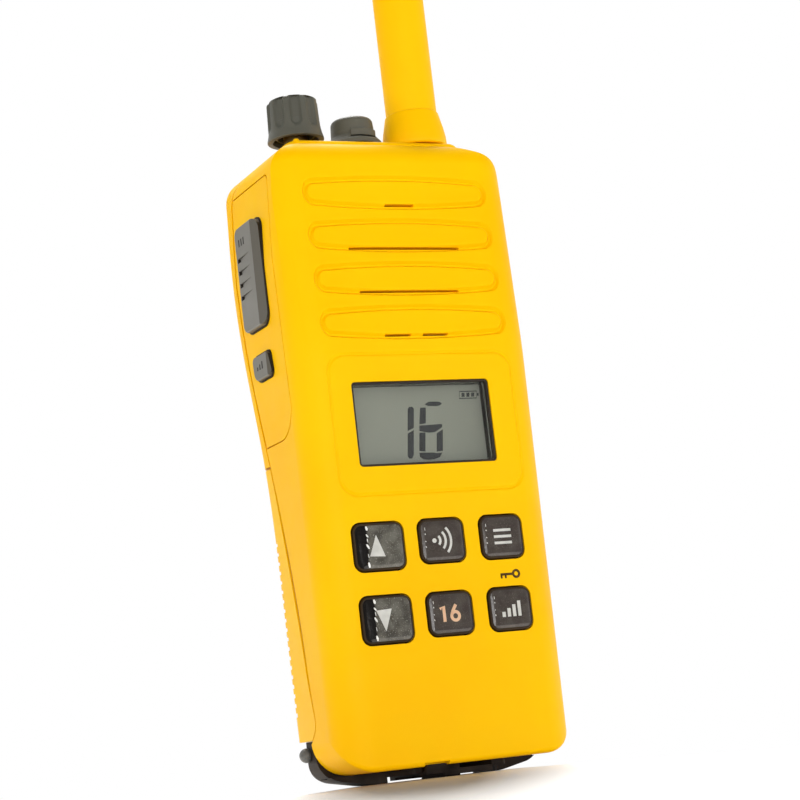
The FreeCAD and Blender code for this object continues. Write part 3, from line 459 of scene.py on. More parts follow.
# Silicone seal, orange through and through, matt where it bulges out of the seam.
SEAL = Finish("orange_silicone_seal", Slot.SEAL, "D3820F", "C47409", 0.5, specular=0.3, grain_mm=0.4,
              grain_depth_mm=0.01)
# Grey rubber of the side buttons: eroded texture coarse enough to take the gloss off, and painted shade on
# faces that turn to the front.
SIDE_RUBBER = RubberWithPaintedShade("grey_side_rubber", Slot.SIDE_RUBBER, "7C7A73", "74726B", 0.55, specular=0.3,
                             grain_mm=0.35, grain_depth_mm=0.02)
# Dark lip round each side button: painted shade that stands for the shadow in the gap.
SHADOW_GAP_LIP = Finish("dark_painted_shadow_gap", Slot.SIDE_RUBBER, "231A0E", "2C2214", 0.6, specular=0.15, drift_mm=3.0)
# Knob and cap: dark warm grey nylon and rubber with a soft sheen.
KNOB_NYLON = Finish("warm_grey_nylon", Slot.KNOB, "525249", "5A5A51", 0.46, specular=0.3, grain_mm=0.3,
                    grain_depth_mm=0.012)
CAP_RUBBER = Finish("warm_grey_rubber", Slot.CAP, "56554B", "605F54", 0.5, specular=0.3, grain_mm=0.3,
                    grain_depth_mm=0.012)
# Glass-filled nylon guard: almost black brown, with a dull, slightly uneven skin.
GUARD_NYLON = Finish("black_glass_filled_nylon", Slot.GUARD, "1C1511", "2E2620", 0.5, specular=0.1,
                     drift_mm=6.0, grain_mm=0.3, grain_depth_mm=0.02)
AXLE_NYLON = Finish("grey_acetal_axle", Slot.AXLE, "5C5C59", "686864", 0.4, specular=0.4)
BLACK_ABS = Finish("black_abs", Slot.BLACK, "141414", "1D1D1D", 0.5, specular=0.3)
DISPLAY_FRAME = Finish("dark_display_frame", Slot.DISPLAY_FRAME, "2A241D", "332C24", 0.45, specular=0.25)
# Key surround: dark rubber web that holds the resin caps.
KEY_RUBBER = Finish("dark_brown_key_rubber", Slot.KEY, "2A1C06", "33240B", 0.5, specular=0.25, grain_mm=0.3,
                    grain_depth_mm=0.01)
KEY_RESIN = MottledResin("mottled_key_resin", Slot.KEY, "423B37", "4E4843", 0.12, specular=0.5, fleck_mm=0.2,
                         fleck_colour="665F58")
# Painted reflection on the wide keys: their lighter grey stands in for a bright reflection, and near black
# left of the crease for a dark one.
WIDE_KEY_RESIN_PAINTED_REFLECTION = ResinWithPaintedReflection("mottled_wide_key_resin", Slot.KEY, "4A4741", "6C6A61", 0.12, specular=0.5,
                               fleck_mm=0.3, fleck_colour="8B897F")
# Painted highlight: the wet glint along the crease of the resin, drawn as thin pale strokes so that it stays
# in place.
PAINTED_RESIN_GLINT = Finish("pale_resin_vein", Slot.KEY, "F4F4F0", "E2E2DC", 0.2, specular=0.5, drift_mm=1.0)
SYMBOL_INK = Finish("pale_grey_key_print", Slot.KEY, "D2D2CC", "C3C3BD", 0.35, specular=0.3, drift_mm=2.0)
SIXTEEN_INK = Finish("peach_key_print", Slot.KEY, "E2BC98", "DBB08A", 0.35, specular=0.3, drift_mm=2.0)
PAD_PRINT = Finish("brown_pad_print", Slot.YELLOW, "4B3206", "5B4010", 0.5, specular=0.2, drift_mm=2.0)
BUTTON_MARK = Finish("dark_button_mark", Slot.SIDE_RUBBER, "1E1C18", "3A3732", 0.6, specular=0.2,
                     drift_mm=2.0)
LENS = ClearPlastic("clear_acrylic_lens", Slot.LENS, "F4F6F2", "F4F6F2", 0.03, ior=1.49)
LCD = DisplayGlass("grey_green_display_glass", Slot.LCD, "A3A49A", "999A90", 0.45, specular=0.2)
LCD_SEGMENT = Finish("switched_display_segment", Slot.LCD, "24242A", "2C2C33", 0.45, specular=0.2,
                     drift_mm=1.5)
STEEL = BrushedMetal("plated_steel", Slot.STEEL, "A9A9A7", "98989A", 0.32)
BRASS = BrushedMetal("turned_brass", Slot.BRASS, "C9A566", "B8914F", 0.3)
CAST = BrushedMetal("blasted_die_cast_aluminium", Slot.CAST, "A2A3A4", "8E9091", 0.52, grain_depth_mm=0.02,
                    scratch_mm=0.5)
CONTACT = BrushedMetal("gold_flashed_contact", Slot.CONTACT, "E3BF66", "CFA64C", 0.25)
BOARD = Finish("green_solder_mask", Slot.BOARD, "0E4A22", "14602D", 0.3, specular=0.5, drift_mm=3.0)
SILICONE = Finish("black_silicone", Slot.SILICONE, "191919", "222222", 0.6, specular=0.3)
PAPER = Finish("treated_speaker_paper", Slot.PAPER, "1E1C1A", "2A2724", 0.8, specular=0.1, grain_mm=0.6,
               grain_depth_mm=0.05)
CELL_WRAP = Finish("blue_cell_film", Slot.CELL, "2B3A55", "34466A", 0.3, specular=0.5)

# Matt paper sheet under the radio. It is part of the stage, so its slot is never read.
STUDIO_SHEET = Finish("matt_paper_sheet", Slot.YELLOW, "EAE6E0", "ECE8E2", 0.9, specular=0.0, drift_mm=200.0,
                      grain_mm=2.0, grain_depth_mm=0.0)


# ---------------------------------------------------------------- mesh helpers

def piece_from(shape: Shape, name: str, finish: Finish, crease_degrees: float = 32.0) -> Piece:
    """Turn a bmesh into a smooth-shaded object with sharp creases.

    Args:
        shape: The mesh, in metres. It is freed.
        name: Name of the piece.
        finish: Its finish.
        crease_degrees: Edges that turn more than this stay sharp.

    Returns:
        The new object.
    """
    limit = math.radians(crease_degrees)
    for face in shape.faces:
        face.smooth = True
    for edge in shape.edges:
        edge.smooth = len(edge.link_faces) == 2 and edge.calc_face_angle(0.0) < limit
    mesh = bpy.data.meshes.new(name)
    shape.to_mesh(mesh)
    shape.free()
    mesh.materials.append(finish.material())
    piece = bpy.data.objects.new(name, mesh)
    bpy.context.scene.collection.objects.link(piece)
    return piece


def cad_shape(node: str) -> Shape:
    """Merged copy of a CAD node, its flat faces joined.

    Args:
        node: Name of the node.

    Returns:
        The copy, with normals as in the node.
    """
    merge_distance = 1e-6
    flat_degrees = 0.3
    shape = bmesh.new()
    shape.from_mesh(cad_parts[node].data)
    bmesh.ops.remove_doubles(shape, verts=shape.verts, dist=merge_distance)
    bmesh.ops.dissolve_limit(shape, angle_limit=math.radians(flat_degrees), verts=shape.verts,
                             edges=shape.edges)
    return shape


def soften_edges(piece: Piece, width_mm: float) -> None:
    """Round a piece's sharp edges and weight its normals by face area.

    Args:
        piece: The piece.
        width_mm: Width of the rounding, or 0 for none.
    """
    if width_mm > 0:
        sharp_degrees = 30.0
        bevel = piece.modifiers.new("rounding", "BEVEL")
        bevel.width = width_mm * MM
        bevel.segments = 2
        bevel.limit_method = "ANGLE"
        bevel.angle_limit = math.radians(sharp_degrees)
        bevel.miter_outer = "MITER_ARC"
    normals = piece.modifiers.new("normals", "WEIGHTED_NORMAL")
    normals.keep_sharp = True


def settle(piece: Piece, body: Body | str, replaces: Iterable[str] = ()) -> Piece:
    """Tie a finished piece to its body and the nodes that it stands for, and report it.

    Args:
        piece: The finished piece.
        body: Body that it rides on.
        replaces: CAD nodes that it stands for.

    Returns:
        The piece.
    """
    body_name = body.value if isinstance(body, Body) else body
    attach(piece, body_name)
    for node in replaces:
        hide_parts(node)
    LOG.info("%s rides on %s, %d faces", piece.name, body_name, len(piece.data.polygons))
    return piece


def finished(shape: Shape, name: str, finish: Finish, body: Body | str, replaces: Iterable[str] = (),
             crease_degrees: float = 32.0) -> Piece:
    """Piece made from a shape and tied to its body.

    Args:
        shape: The mesh, in metres. It is freed.
        name: Name of the piece.
        finish: Its finish.
        body: Body that it rides on.
        replaces: CAD nodes that it stands for.
        crease_degrees: Edges that turn more than this stay sharp.

    Returns:
        The piece.
    """
    return settle(piece_from(shape, name, finish, crease_degrees), body, replaces)


def dressed_node(node: str, body: Body | str, finish: Finish, rounding_mm: float = 0.0) -> Piece:
    """Merged, smooth piece that stands for a CAD node of the same shape.

    Args:
        node: Name of the node.
        body: Body that it rides on.
        finish: Its finish.
        rounding_mm: Width of the rounding of its edges.

    Returns:
        The piece.
    """
    piece = piece_from(cad_shape(node), node + "_piece", finish)
    soften_edges(piece, rounding_mm)
    return settle(piece, body, [node])


def join_rings(rings: Sequence[Ring], close: bool = True) -> Shape:
    """Skin over rings that have the same number of points.

    Args:
        rings: Closed rings, each a list of points.
        close: Close the first and the last ring with a face, or not.

    Returns:
        The skin, its normals outwards.
    """
    shape = bmesh.new()
    rows = [[shape.verts.new(point) for point in ring] for ring in rings]
    count = len(rows[0])
    for low, high in zip(rows, rows[1:]):
        for index in range(count):
            following = (index + 1) % count
            shape.faces.new((low[index], low[following], high[following], high[index]))
    if close:
        shape.faces.new(rows[0][::-1])
        shape.faces.new(rows[-1])
    merge_distance = 1e-7
    bmesh.ops.remove_doubles(shape, verts=shape.verts, dist=merge_distance)
    bmesh.ops.recalc_face_normals(shape, faces=shape.faces)
    return shape


def lathe(profile: Sequence[Point2], centre: Point2, segments: int,
          radius_rule: Callable[[float, float, float], float] | None = None) -> Shape:
    """Turned shape about an upright axis.

    Args:
        profile: Radius and height of each step in millimetres, from one end of the axis to the other.
        centre: X and Y of the axis in millimetres.
        segments: Steps round the axis.
        radius_rule: Changes a radius by angle and height, or None.

    Returns:
        The turned shape.
    """
    rings = []
    for radius, height in profile:
        ring = []
        for index in range(segments):
            angle = 2 * math.pi * index / segments
            reach = radius_rule(radius, angle, height) if radius_rule else radius
            x, y = centre[0] + reach * math.cos(angle), centre[1] + reach * math.sin(angle)
            ring.append(Vector((x, y, height)) * MM)
        rings.append(ring)
    return join_rings(rings)


def rounded_outline(corners: Sequence[Point3], grow: float, per_corner: int = 8,
                    per_side: int = 10) -> list[Point2]:
    """Closed outline with rounded corners, moved outwards.

    Args:
        corners: Place and radius of each corner, anticlockwise.
        grow: How far the outline moves out.
        per_corner: Steps round each corner.
        per_side: Steps along each side.

    Returns:
        The outline's points.
    """
    count = len(corners)
    arcs = []
    for index in range(count):
        here = Vector(corners[index][:2])
        before = (Vector(corners[index - 1][:2]) - here).normalized()
        after = (Vector(corners[(index + 1) % count][:2]) - here).normalized()
        radius = corners[index][2]
        half = before.angle(after) / 2
        centre = here + (before + after).normalized() * (radius / math.sin(half))
        first = centre - here - before * (centre - here).dot(before)
        last = centre - here - after * (centre - here).dot(after)
        arcs.append([centre - first.slerp(last, step / per_corner).normalized() * (radius + grow)
                     for step in range(per_corner + 1)])
    points = []
    for index in range(count):
        points += arcs[index]
        start, end = arcs[index][-1], arcs[(index + 1) % count][0]
        points += [start.lerp(end, step / per_side) for step in range(1, per_side)]
    return [(point.x, point.y) for point in points]


def ribbon(points: Sequence[Point2], width: float, closed: bool = False) -> list[Cell]:
    """Pen stroke of even width along a line, as a strip of four-sided cells.

    Args:
        points: The line's points.
        width: Width of the stroke.
        closed: Join the end to the start.

    Returns:
        The cells, each a list of four points.
    """
    count = len(points)
    sides = []
    for index in range(count):
        before = points[index - 1] if index > 0 or closed else points[0]
        after = points[(index + 1) % count] if index < count - 1 or closed else points[-1]
        along = Vector((after[0] - before[0], after[1] - before[1])).normalized()
        across = Vector((-along.y, along.x)) * (width / 2)
        here = Vector(points[index])
        sides.append((tuple(here - across), tuple(here + across)))
    following = sides[1:] + sides[:1] if closed else sides[1:]
    return [[right, next_right, next_left, left]
            for (right, left), (next_right, next_left) in zip(sides, following)]


def arc(centre: Point2, radius: float, start: float, end: float, steps: int = 18) -> list[Point2]:
    """Points of a circular arc.

    Args:
        centre: Its centre.
        radius: Its radius.
        start: First angle in degrees.
        end: Last angle in degrees.
        steps: Number of steps.

    Returns:
        The arc's points.
    """
    turns = [math.radians(start + (end - start) * step / steps) for step in range(steps + 1)]
    return [(centre[0] + radius * math.cos(turn), centre[1] + radius * math.sin(turn)) for turn in turns]


def printed(cells: Sequence[Sequence[Point2]], surface: Callable[[float, float], Vector], lift_mm: float,
            depth_mm: float = 0.06) -> Shape:
    """Thin closed plates that lie on a surface, such as print or display segments.

    Args:
        cells: Outlines in the surface's own plane, in millimetres.
        surface: Gives the point on the surface, in millimetres, for a place in the plane.
        lift_mm: How far the plates stand proud, along -Y.
        depth_mm: Their thickness.

    Returns:
        The plates, cut fine enough to follow a curved surface.
    """
    longest_mm = 0.4
    merge_mm = 1e-4
    passes = 4
    shape = bmesh.new()
    for cell in cells:
        shape.faces.new([shape.verts.new((u, v, 0)) for u, v in cell])
    bmesh.ops.triangulate(shape, faces=shape.faces)
    for _ in range(passes):
        long_edges = [edge for edge in shape.edges if edge.calc_length() > longest_mm]
        if not long_edges:
            break
        bmesh.ops.subdivide_edges(shape, edges=long_edges, cuts=1)
        bmesh.ops.triangulate(shape, faces=shape.faces)
    bmesh.ops.remove_doubles(shape, verts=shape.verts, dist=merge_mm)
    fronts = list(shape.faces)
    moved = bmesh.ops.extrude_face_region(shape, geom=fronts, use_keep_orig=True)
    backs = {vert for vert in moved["geom"] if isinstance(vert, bmesh.types.BMVert)}
    for vert in shape.verts:
        on_surface = surface(vert.co.x, vert.co.y)
        drop = depth_mm - lift_mm if vert in backs else -lift_mm
        vert.co = (on_surface + Vector((0, drop, 0))) * MM
    bmesh.ops.recalc_face_normals(shape, faces=shape.faces)
    return shape


def upright_ends(node: str) -> tuple[Point2, float, float]:
    """Axis, lower end and upper end of a turned CAD node, in millimetres."""
    low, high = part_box(node)
    return ((low.x + high.x) / 2 / MM, (low.y + high.y) / 2 / MM), low.z / MM, high.z / MM


def flat_at(y_mm: float) -> Callable[[float, float], Vector]:
    """Surface function of an upright plane across Y."""
    return lambda u, v: Vector((u, y_mm, v))


# ---------------------------------------------------------------- geometry nodes

def field_group(name: str, sizes: dict[str, float | int]) -> Tree:
    """New geometry node tree with named inputs.

    Args:
        name: Name of the tree.
        sizes: Name and default of each input. An int makes a whole-number input.

    Returns:
        The tree, with its group input and output not yet made.
    """
    tree = bpy.data.node_groups.new(name, "GeometryNodeTree")
    tree.interface.new_socket("Geometry", in_out="INPUT", socket_type="NodeSocketGeometry")
    tree.interface.new_socket("Geometry", in_out="OUTPUT", socket_type="NodeSocketGeometry")
    for label, value in sizes.items():
        kind = "NodeSocketInt" if isinstance(value, int) else "NodeSocketFloat"
        tree.interface.new_socket(label, in_out="INPUT", socket_type=kind).default_value = value
    return tree


def close_group(tree: Tree, geometry: Node, finish: Finish) -> None:
    """End a tree in Realize Instances and Set Material.

    Args:
        tree: The tree.
        geometry: The node that gives the geometry.
        finish: The finish that dresses it.
    """
    real = add_node(tree, "GeometryNodeRealizeInstances", {"Geometry": geometry})
    dressed = add_node(tree, "GeometryNodeSetMaterial", {"Geometry": real, "Material": finish.material()})
    add_node(tree, "NodeGroupOutput", {0: dressed})


def run_group(base: Piece, tree: Tree, sizes: dict[str, float | int], name: str, finish: Finish) -> Piece:
    """Run a geometry node tree on an object and keep its result as a plain mesh.

    Args:
        base: Object that carries the modifier. It is removed.
        tree: The tree.
        sizes: Values of the tree's inputs, by name.
        name: Name of the finished piece.
        finish: Its finish.

    Returns:
        The finished piece.
    """
    modifier = base.modifiers.new(tree.name, "NODES")
    modifier.node_group = tree
    for item in tree.interface.items_tree:
        if item.in_out == "INPUT" and item.name in sizes:
            modifier[item.identifier] = sizes[item.name]
    bpy.context.view_layer.update()
    evaluated = base.evaluated_get(bpy.context.evaluated_depsgraph_get())
    mesh = bpy.data.meshes.new_from_object(evaluated)
    base.modifiers.remove(modifier)
    bpy.data.objects.remove(base)
    shape = bmesh.new()
    shape.from_mesh(mesh)
    bpy.data.meshes.remove(mesh)
    return piece_from(shape, name, finish)


# ---------------------------------------------------------------- sub-assemblies

@dataclass
class Casing:
    """Front and rear casings with their seal, inlaid side panel, screws and belt-clip inserts."""

    edge_mm: float = 0.2
    lock_left: float = 14.5
    lock_right: float = 19.8
    lock_z: float = 45.15
    lock_ring: float = 1.1
    lock_line: float = 0.6
    front_y: float = -15.0

    def build(self) -> None:
        """Make and dress every piece of the casings."""
        for node, rounding in (("front_case", self.edge_mm), ("rear_case", 0.25), ("side_panel", 0.12)):
            dressed_node(node, Body.CASE, YELLOW_SHELL, rounding)
        dressed_node("case_gasket", Body.CASE, SEAL)
        dressed_node("case_screws", Body.CASE, STEEL, 0.1)
        dressed_node("clip_inserts", Body.CASE, BRASS, 0.1)
        self.lock_mark()

    def lock_mark(self) -> None:
        """Small key pictogram printed on the front between the right keys."""
        ring_centre = (self.lock_right - self.lock_ring, self.lock_z)
        loop = arc(ring_centre, self.lock_ring - self.lock_line / 2, 0, 360)[:-1]
        cells = ribbon(loop, self.lock_line, closed=True)
        cells += ribbon([(self.lock_left, self.lock_z), (ring_centre[0] - self.lock_ring + 0.1, self.lock_z)],
                        self.lock_line)
        for tooth in (0.0, 1.1):
            left = self.lock_left + tooth
            cells += ribbon([(left + 0.25, self.lock_z), (left + 0.25, self.lock_z - 0.95)], 0.5)
        shape = printed(cells, flat_at(self.front_y), lift_mm=0.02)
        finished(shape, "lock_mark", PAD_PRINT, Body.CASE)


@dataclass
class SideButtons:
    """Talk and squelch buttons on the left, with what they press on."""

    talk_mark: Point2 = (8.0, 132.4)
    squelch_mark: Point2 = (5.4, 101.0)
    bar: Point2 = (0.7, 1.8)
    bar_pitch: float = 1.5
    talk_outline: tuple[Point3, ...] = (
        (-1.3, 110.2, 2.8), (12.0, 110.2, 2.2), (12.4, 136.4, 2.2), (-1.0, 136.4, 2.8))
    squelch_outline: tuple[Point3, ...] = (
        (-0.2, 97.8, 1.3), (9.6, 97.8, 2.4), (10.2, 103.8, 1.3), (0.6, 103.8, 1.3))
    lip_inner: float = 0.04
    lip_outer: float = 0.42
    lip_proud: float = 0.35
    lip_depth: float = 1.0
    lip_rounding: float = 0.08

    def build(self) -> None:
        """Make and dress the buttons, switches and their board."""
        dressed_node("ptt_button", Body.TALK, SIDE_RUBBER, 0.15)
        dressed_node("squelch_button", Body.SQUELCH, SIDE_RUBBER, 0.15)
        dressed_node("ptt_switch", Body.CASE, BLACK_ABS)
        dressed_node("squelch_switch", Body.CASE, BLACK_ABS)
        dressed_node("side_board", Body.CASE, BOARD)
        walls = self.wall_tree()
        self.shadow_gap_lip("talk_button_shadow_gap", self.talk_outline, walls)
        self.shadow_gap_lip("squelch_button_shadow_gap", self.squelch_outline, walls)
        self.level_mark("talk_mark", Body.TALK, self.talk_mark, "ptt_button", (1.0, 1.0, 1.0))
        self.level_mark("squelch_mark", Body.SQUELCH, self.squelch_mark, "squelch_button", (0.5, 0.75, 1.0))

    def wall_tree(self) -> BVHTree:
        """Build a search tree of the panel and the case round the buttons.

        Returns:
            The tree.
        """
        shape = bmesh.new()
        for node in ("side_panel", "front_case"):
            shape.from_mesh(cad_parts[node].data)
        tree = BVHTree.FromBMesh(shape)
        shape.free()
        return tree

    def shadow_gap_lip(self, name: str, outline: Sequence[Point3], walls: BVHTree) -> None:
        """Dark lip in the gap between a button and the panel, a little proud of the panel's surface: painted
        shade for the shadow in the gap.

        Args:
            name: Name of the piece.
            outline: Y, Z and corner radius of the button's corners.
            walls: Search tree of the wall.
        """
        beside = 0.3
        far_left = -60.0
        inner = rounded_outline(outline, self.lip_inner)
        outer = rounded_outline(outline, self.lip_outer)
        probe = rounded_outline(outline, self.lip_outer + beside)
        levels = []
        for y, z in probe:
            hit = walls.ray_cast(Vector((far_left, y, z)) * MM, Vector((1, 0, 0)))[0]
            levels.append(hit.x / MM - self.lip_proud)
        section = ((inner, self.lip_depth), (inner, self.lip_rounding), (inner, 0.0), (outer, 0.0),
                   (outer, self.lip_depth), (inner, self.lip_depth))
        rings = [[Vector((level + sink, y, z)) * MM for level, (y, z) in zip(levels, ring)]
                 for ring, sink in section]
        finished(join_rings(rings, close=False), name, SHADOW_GAP_LIP, Body.CASE)

    def level_mark(self, name: str, body: Body, centre: Point2, node: str, heights: Sequence[float]) -> None:
        """Short bars moulded into a button's face.

        Args:
            name: Name of the piece.
            body: The button's body.
            centre: Y and Z of the middle of the bars.
            node: The button's CAD node.
            heights: Share of the full height of each bar.
        """
        outer_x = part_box(node)[0].x / MM
        half, low = self.bar[0] / 2, centre[1] - self.bar[1] / 2
        cells = []
        for index, share in enumerate(heights):
            middle, high = centre[0] + (1 - index) * self.bar_pitch, low + self.bar[1] * share
            left, right = middle - half, middle + half
            cells.append([(left, low), (right, low), (right, high), (left, high)])
        shape = printed(cells, flat_at(0.0), lift_mm=0.02)
        turn = Matrix(((0, 1, 0), (1, 0, 0), (0, 0, 1)))
        for vert in shape.verts:
            vert.co = turn @ vert.co + Vector((outer_x * MM, 0, 0))
        bmesh.ops.recalc_face_normals(shape, faces=shape.faces)
        finished(shape, name, BUTTON_MARK, body)


@dataclass
class FrontKey:
    """One resin-topped key of the front."""

    node: str
    symbol: Symbol
    crease_share: float
    crease_drop: float
    glints: tuple[tuple[float, float, float, float], ...]
    glint_slant: float = -0.03
    flange: float = 0.9
    corner: float = 2.1
    frame_width: float = 0.55
    frame_drop: float = 0.3
    dome_rise: float = 0.3
    dome_fall: float = 0.35
    rim_steepness: float = 3.2
    crease_softness: float = 0.12
    least_corner: float = 0.4
    flange_back: float = 3.8
    flange_front: float = 3.1
    smooth_degrees: float = 60.0

    def __post_init__(self) -> None:
        """Take the key's place from its CAD node."""
        low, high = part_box(self.node)
        self.front = low.y / MM
        self.centre = ((low.x + high.x) / 2 / MM, (low.z + high.z) / 2 / MM)
        self.half = ((high.x - low.x) / 2 / MM - self.flange, (high.z - low.z) / 2 / MM - self.flange)

    def ring(self, inset: float, y: float) -> Ring:
        """Rounded outline of the key at a depth.

        Args:
            inset: How far it lies inside the key's edge, in millimetres.
            y: Its depth, in millimetres.

        Returns:
            The outline's points, in metres.
        """
        radius = max(self.least_corner, self.corner - inset)
        across, up = self.half[0] - inset, self.half[1] - inset
        corners = [(across, up, radius), (-across, up, radius), (-across, -up, radius), (across, -up, radius)]
        outline = rounded_outline(corners, 0.0, per_corner=10, per_side=12)
        return [Vector((self.centre[0] + u, y, self.centre[1] + v)) * MM for u, v in outline]

    def dome(self, x: float, z: float) -> float:
        """Height of the resin's surface over the frame.

        The resin falls away to the left of a soft crease and is nearly flat to the right of it.

        Args:
            x: Place across the front, in millimetres.
            z: Height of the place, in millimetres.

        Returns:
            The height in millimetres.
        """
        u = (x - self.centre[0]) / (self.half[0] - self.frame_width)
        v = (z - self.centre[1]) / (self.half[1] - self.frame_width)
        swell = self.dome_rise * (1 - self.dome_fall * u * u) * (1 - self.dome_fall * v * v)
        meniscus = min(1.0, self.rim_steepness * (1 - max(abs(u), abs(v)) ** 3))
        left = max(0.0, -self.crease_share - u)
        soft = left * left / (left + self.crease_softness)
        return (swell - self.crease_drop * soft) * max(0.0, meniscus)

    def surface(self, x: float, z: float) -> Vector:
        """Point on the resin's surface in millimetres."""
        return Vector((x, self.front + self.frame_drop - self.dome(x, z), z))

    def build(self) -> None:
        """Make the key's rubber body, its resin cap and its symbol."""
        front, top, width = self.front, self.front + self.frame_drop, self.frame_width
        profile = [(-self.flange, front + self.flange_back), (-self.flange, front + self.flange_front),
                   (0.0, front + self.flange_front)]
        profile += [(inset, top + sunk) for inset, sunk in (
            (0.0, 0.35), (0.06, 0.14), (0.2, 0.02), (0.4, 0.0), (width, 0.04), (width + 0.02, 0.25))]
        body = join_rings([self.ring(inset, y) for inset, y in profile])
        finished(body, self.node + "_body", KEY_RUBBER, self.node, [self.node])
        ink = SIXTEEN_INK if self.symbol is Symbol.SIXTEEN else SYMBOL_INK
        for shape, label, finish in (
                (self.resin(), "_resin", self.resin_finish()),
                (printed(self.vein(), self.surface, lift_mm=0.02, depth_mm=0.05), "_vein", PAINTED_RESIN_GLINT),
                (printed(self.cells(), self.surface, lift_mm=0.015, depth_mm=0.04), "_mark", ink)):
            finished(shape, self.node + label, finish, self.node, crease_degrees=self.smooth_degrees)

    def resin_finish(self) -> Finish:
        """Finish of the resin: the wide keys get a painted dark reflection beyond their crease.

        Returns:
            The finish.
        """
        if self.symbol not in (Symbol.UP, Symbol.DOWN):
            return KEY_RESIN
        line = (self.centre[0] - self.crease_share * (self.half[0] - self.frame_width)) * MM
        return replace(WIDE_KEY_RESIN_PAINTED_REFLECTION, name=WIDE_KEY_RESIN_PAINTED_REFLECTION.name + "_" + self.symbol.value, line_x=line,
                       line_z=self.centre[1] * MM)

    def vein(self) -> list[Cell]:
        """Painted highlight: broken glints along the crease, each a short stroke that tapers.

        Returns:
            The outline of each glint.
        """
        inner = (self.half[0] - self.frame_width, self.half[1] - self.frame_width)
        x = self.centre[0] - self.crease_share * inner[0]
        cells = []
        for share, length, width, lean in self.glints:
            z = self.centre[1] + share * inner[1]
            middle = x - share * inner[1] * self.glint_slant
            half, tip = length / 2, width * 0.3
            low, high = middle + lean * half, middle - lean * half
            cells.append([(low - tip, z - half), (low + tip, z - half), (middle + width * 0.5, z),
                          (high + tip, z + half), (high - tip, z + half), (middle - width * 0.5, z)])
        return cells

    def resin(self) -> Shape:
        """Poured resin cap: rings from its rim to its middle, raised by the dome.

        Returns:
            The cap's mesh.
        """
        steps, crowding, sunk = 26, 0.85, 0.2
        base = self.ring(self.frame_width, self.front + self.frame_drop + sunk)
        rings = [base]
        middle = Vector((self.centre[0], 0, self.centre[1]))
        for step in range(steps):
            share = (1 - step / steps) ** crowding
            ring = []
            for point in base:
                flat = middle + (Vector((point.x / MM, 0, point.z / MM)) - middle) * share
                ring.append(self.surface(flat.x, flat.z) * MM)
            rings.append(ring)
        return join_rings(rings)

    def cells(self) -> list[Cell]:
        """Draw the key's symbol.

        Returns:
            Its outlines, in the plane of the front.
        """
        x, z = self.centre
        if self.symbol in (Symbol.UP, Symbol.DOWN):
            turn = 1 if self.symbol is Symbol.UP else -1
            return [[(x - 2.75, z - 2.2 * turn), (x + 1.15, z - 2.4 * turn), (x - 0.75, z + 2.7 * turn)]]
        if self.symbol is Symbol.WAVES:
            waves = [ribbon(arc((x - 2.2, z), radius, -42, 42), 0.6) for radius in (1.5, 2.9, 4.3)]
            return sum(waves, ribbon(arc((x - 2.2, z), 0.3, 0, 360)[:-1], 0.5, closed=True))
        if self.symbol is Symbol.STACK:
            rows = [ribbon([(x - 2.3, z + lift), (x + 2.3, z + lift)], 0.62) for lift in (-1.5, 0.0, 1.5)]
            return sum(rows, [])
        if self.symbol is Symbol.STEPS:
            low, width = z - 1.9, 0.85
            bars = ((x - 2.5, 1.2), (x - 1.1, 2.0), (x + 0.3, 2.8), (x + 1.7, 3.6))
            return [[(left, low), (left + width, low), (left + width, low + tall), (left, low + tall)]
                    for left, tall in bars]
        one = ribbon([(x - 2.8, z + 1.1), (x - 1.85, z + 1.7), (x - 1.85, z - 1.9)], 0.78)
        loop = ribbon(arc((x + 1.0, z - 0.7), 1.0, 0, 360, 24)[:-1], 0.76, closed=True)
        neck = ribbon([(x + 0.03, z - 0.5), (x + 0.4, z + 0.5), (x + 1.35, z + 1.95)], 0.76)
        return one + loop + neck


@dataclass
class Keypad:
    """The six front keys, the silicone mat behind them and their dome switches."""

    def build(self) -> None:
        """Make every key and dress what is behind them."""
        bold = ((0.87, 1.0, 0.62, 0.1), (0.52, 0.7, 0.5, 0.5), (0.3, 0.9, 0.18, 0.1),
                (0.02, 1.1, 0.55, 0.45), (-0.42, 0.9, 0.16, 0.1), (-0.84, 1.2, 0.55, 0.15))
        fine = ((0.62, 0.7, 0.13, 0.0), (0.36, 0.3, 0.2, 0.2), (-0.02, 0.25, 0.18, 0.3),
                (-0.3, 0.35, 0.18, 0.2))
        wide = (0.52, 0.75, bold)
        narrow = (0.84, 0.4, fine)
        for node, symbol, look in (
                ("key_up", Symbol.UP, wide), ("key_down", Symbol.DOWN, wide),
                ("key_call", Symbol.WAVES, narrow), ("key_channel", Symbol.STACK, narrow),
                ("key_sixteen", Symbol.SIXTEEN, narrow), ("key_power", Symbol.STEPS, narrow)):
            FrontKey(node, symbol, *look).build()
        dressed_node("keypad_mat", Body.CASE, SILICONE)
        dressed_node("key_switches", Body.CASE, STEEL)


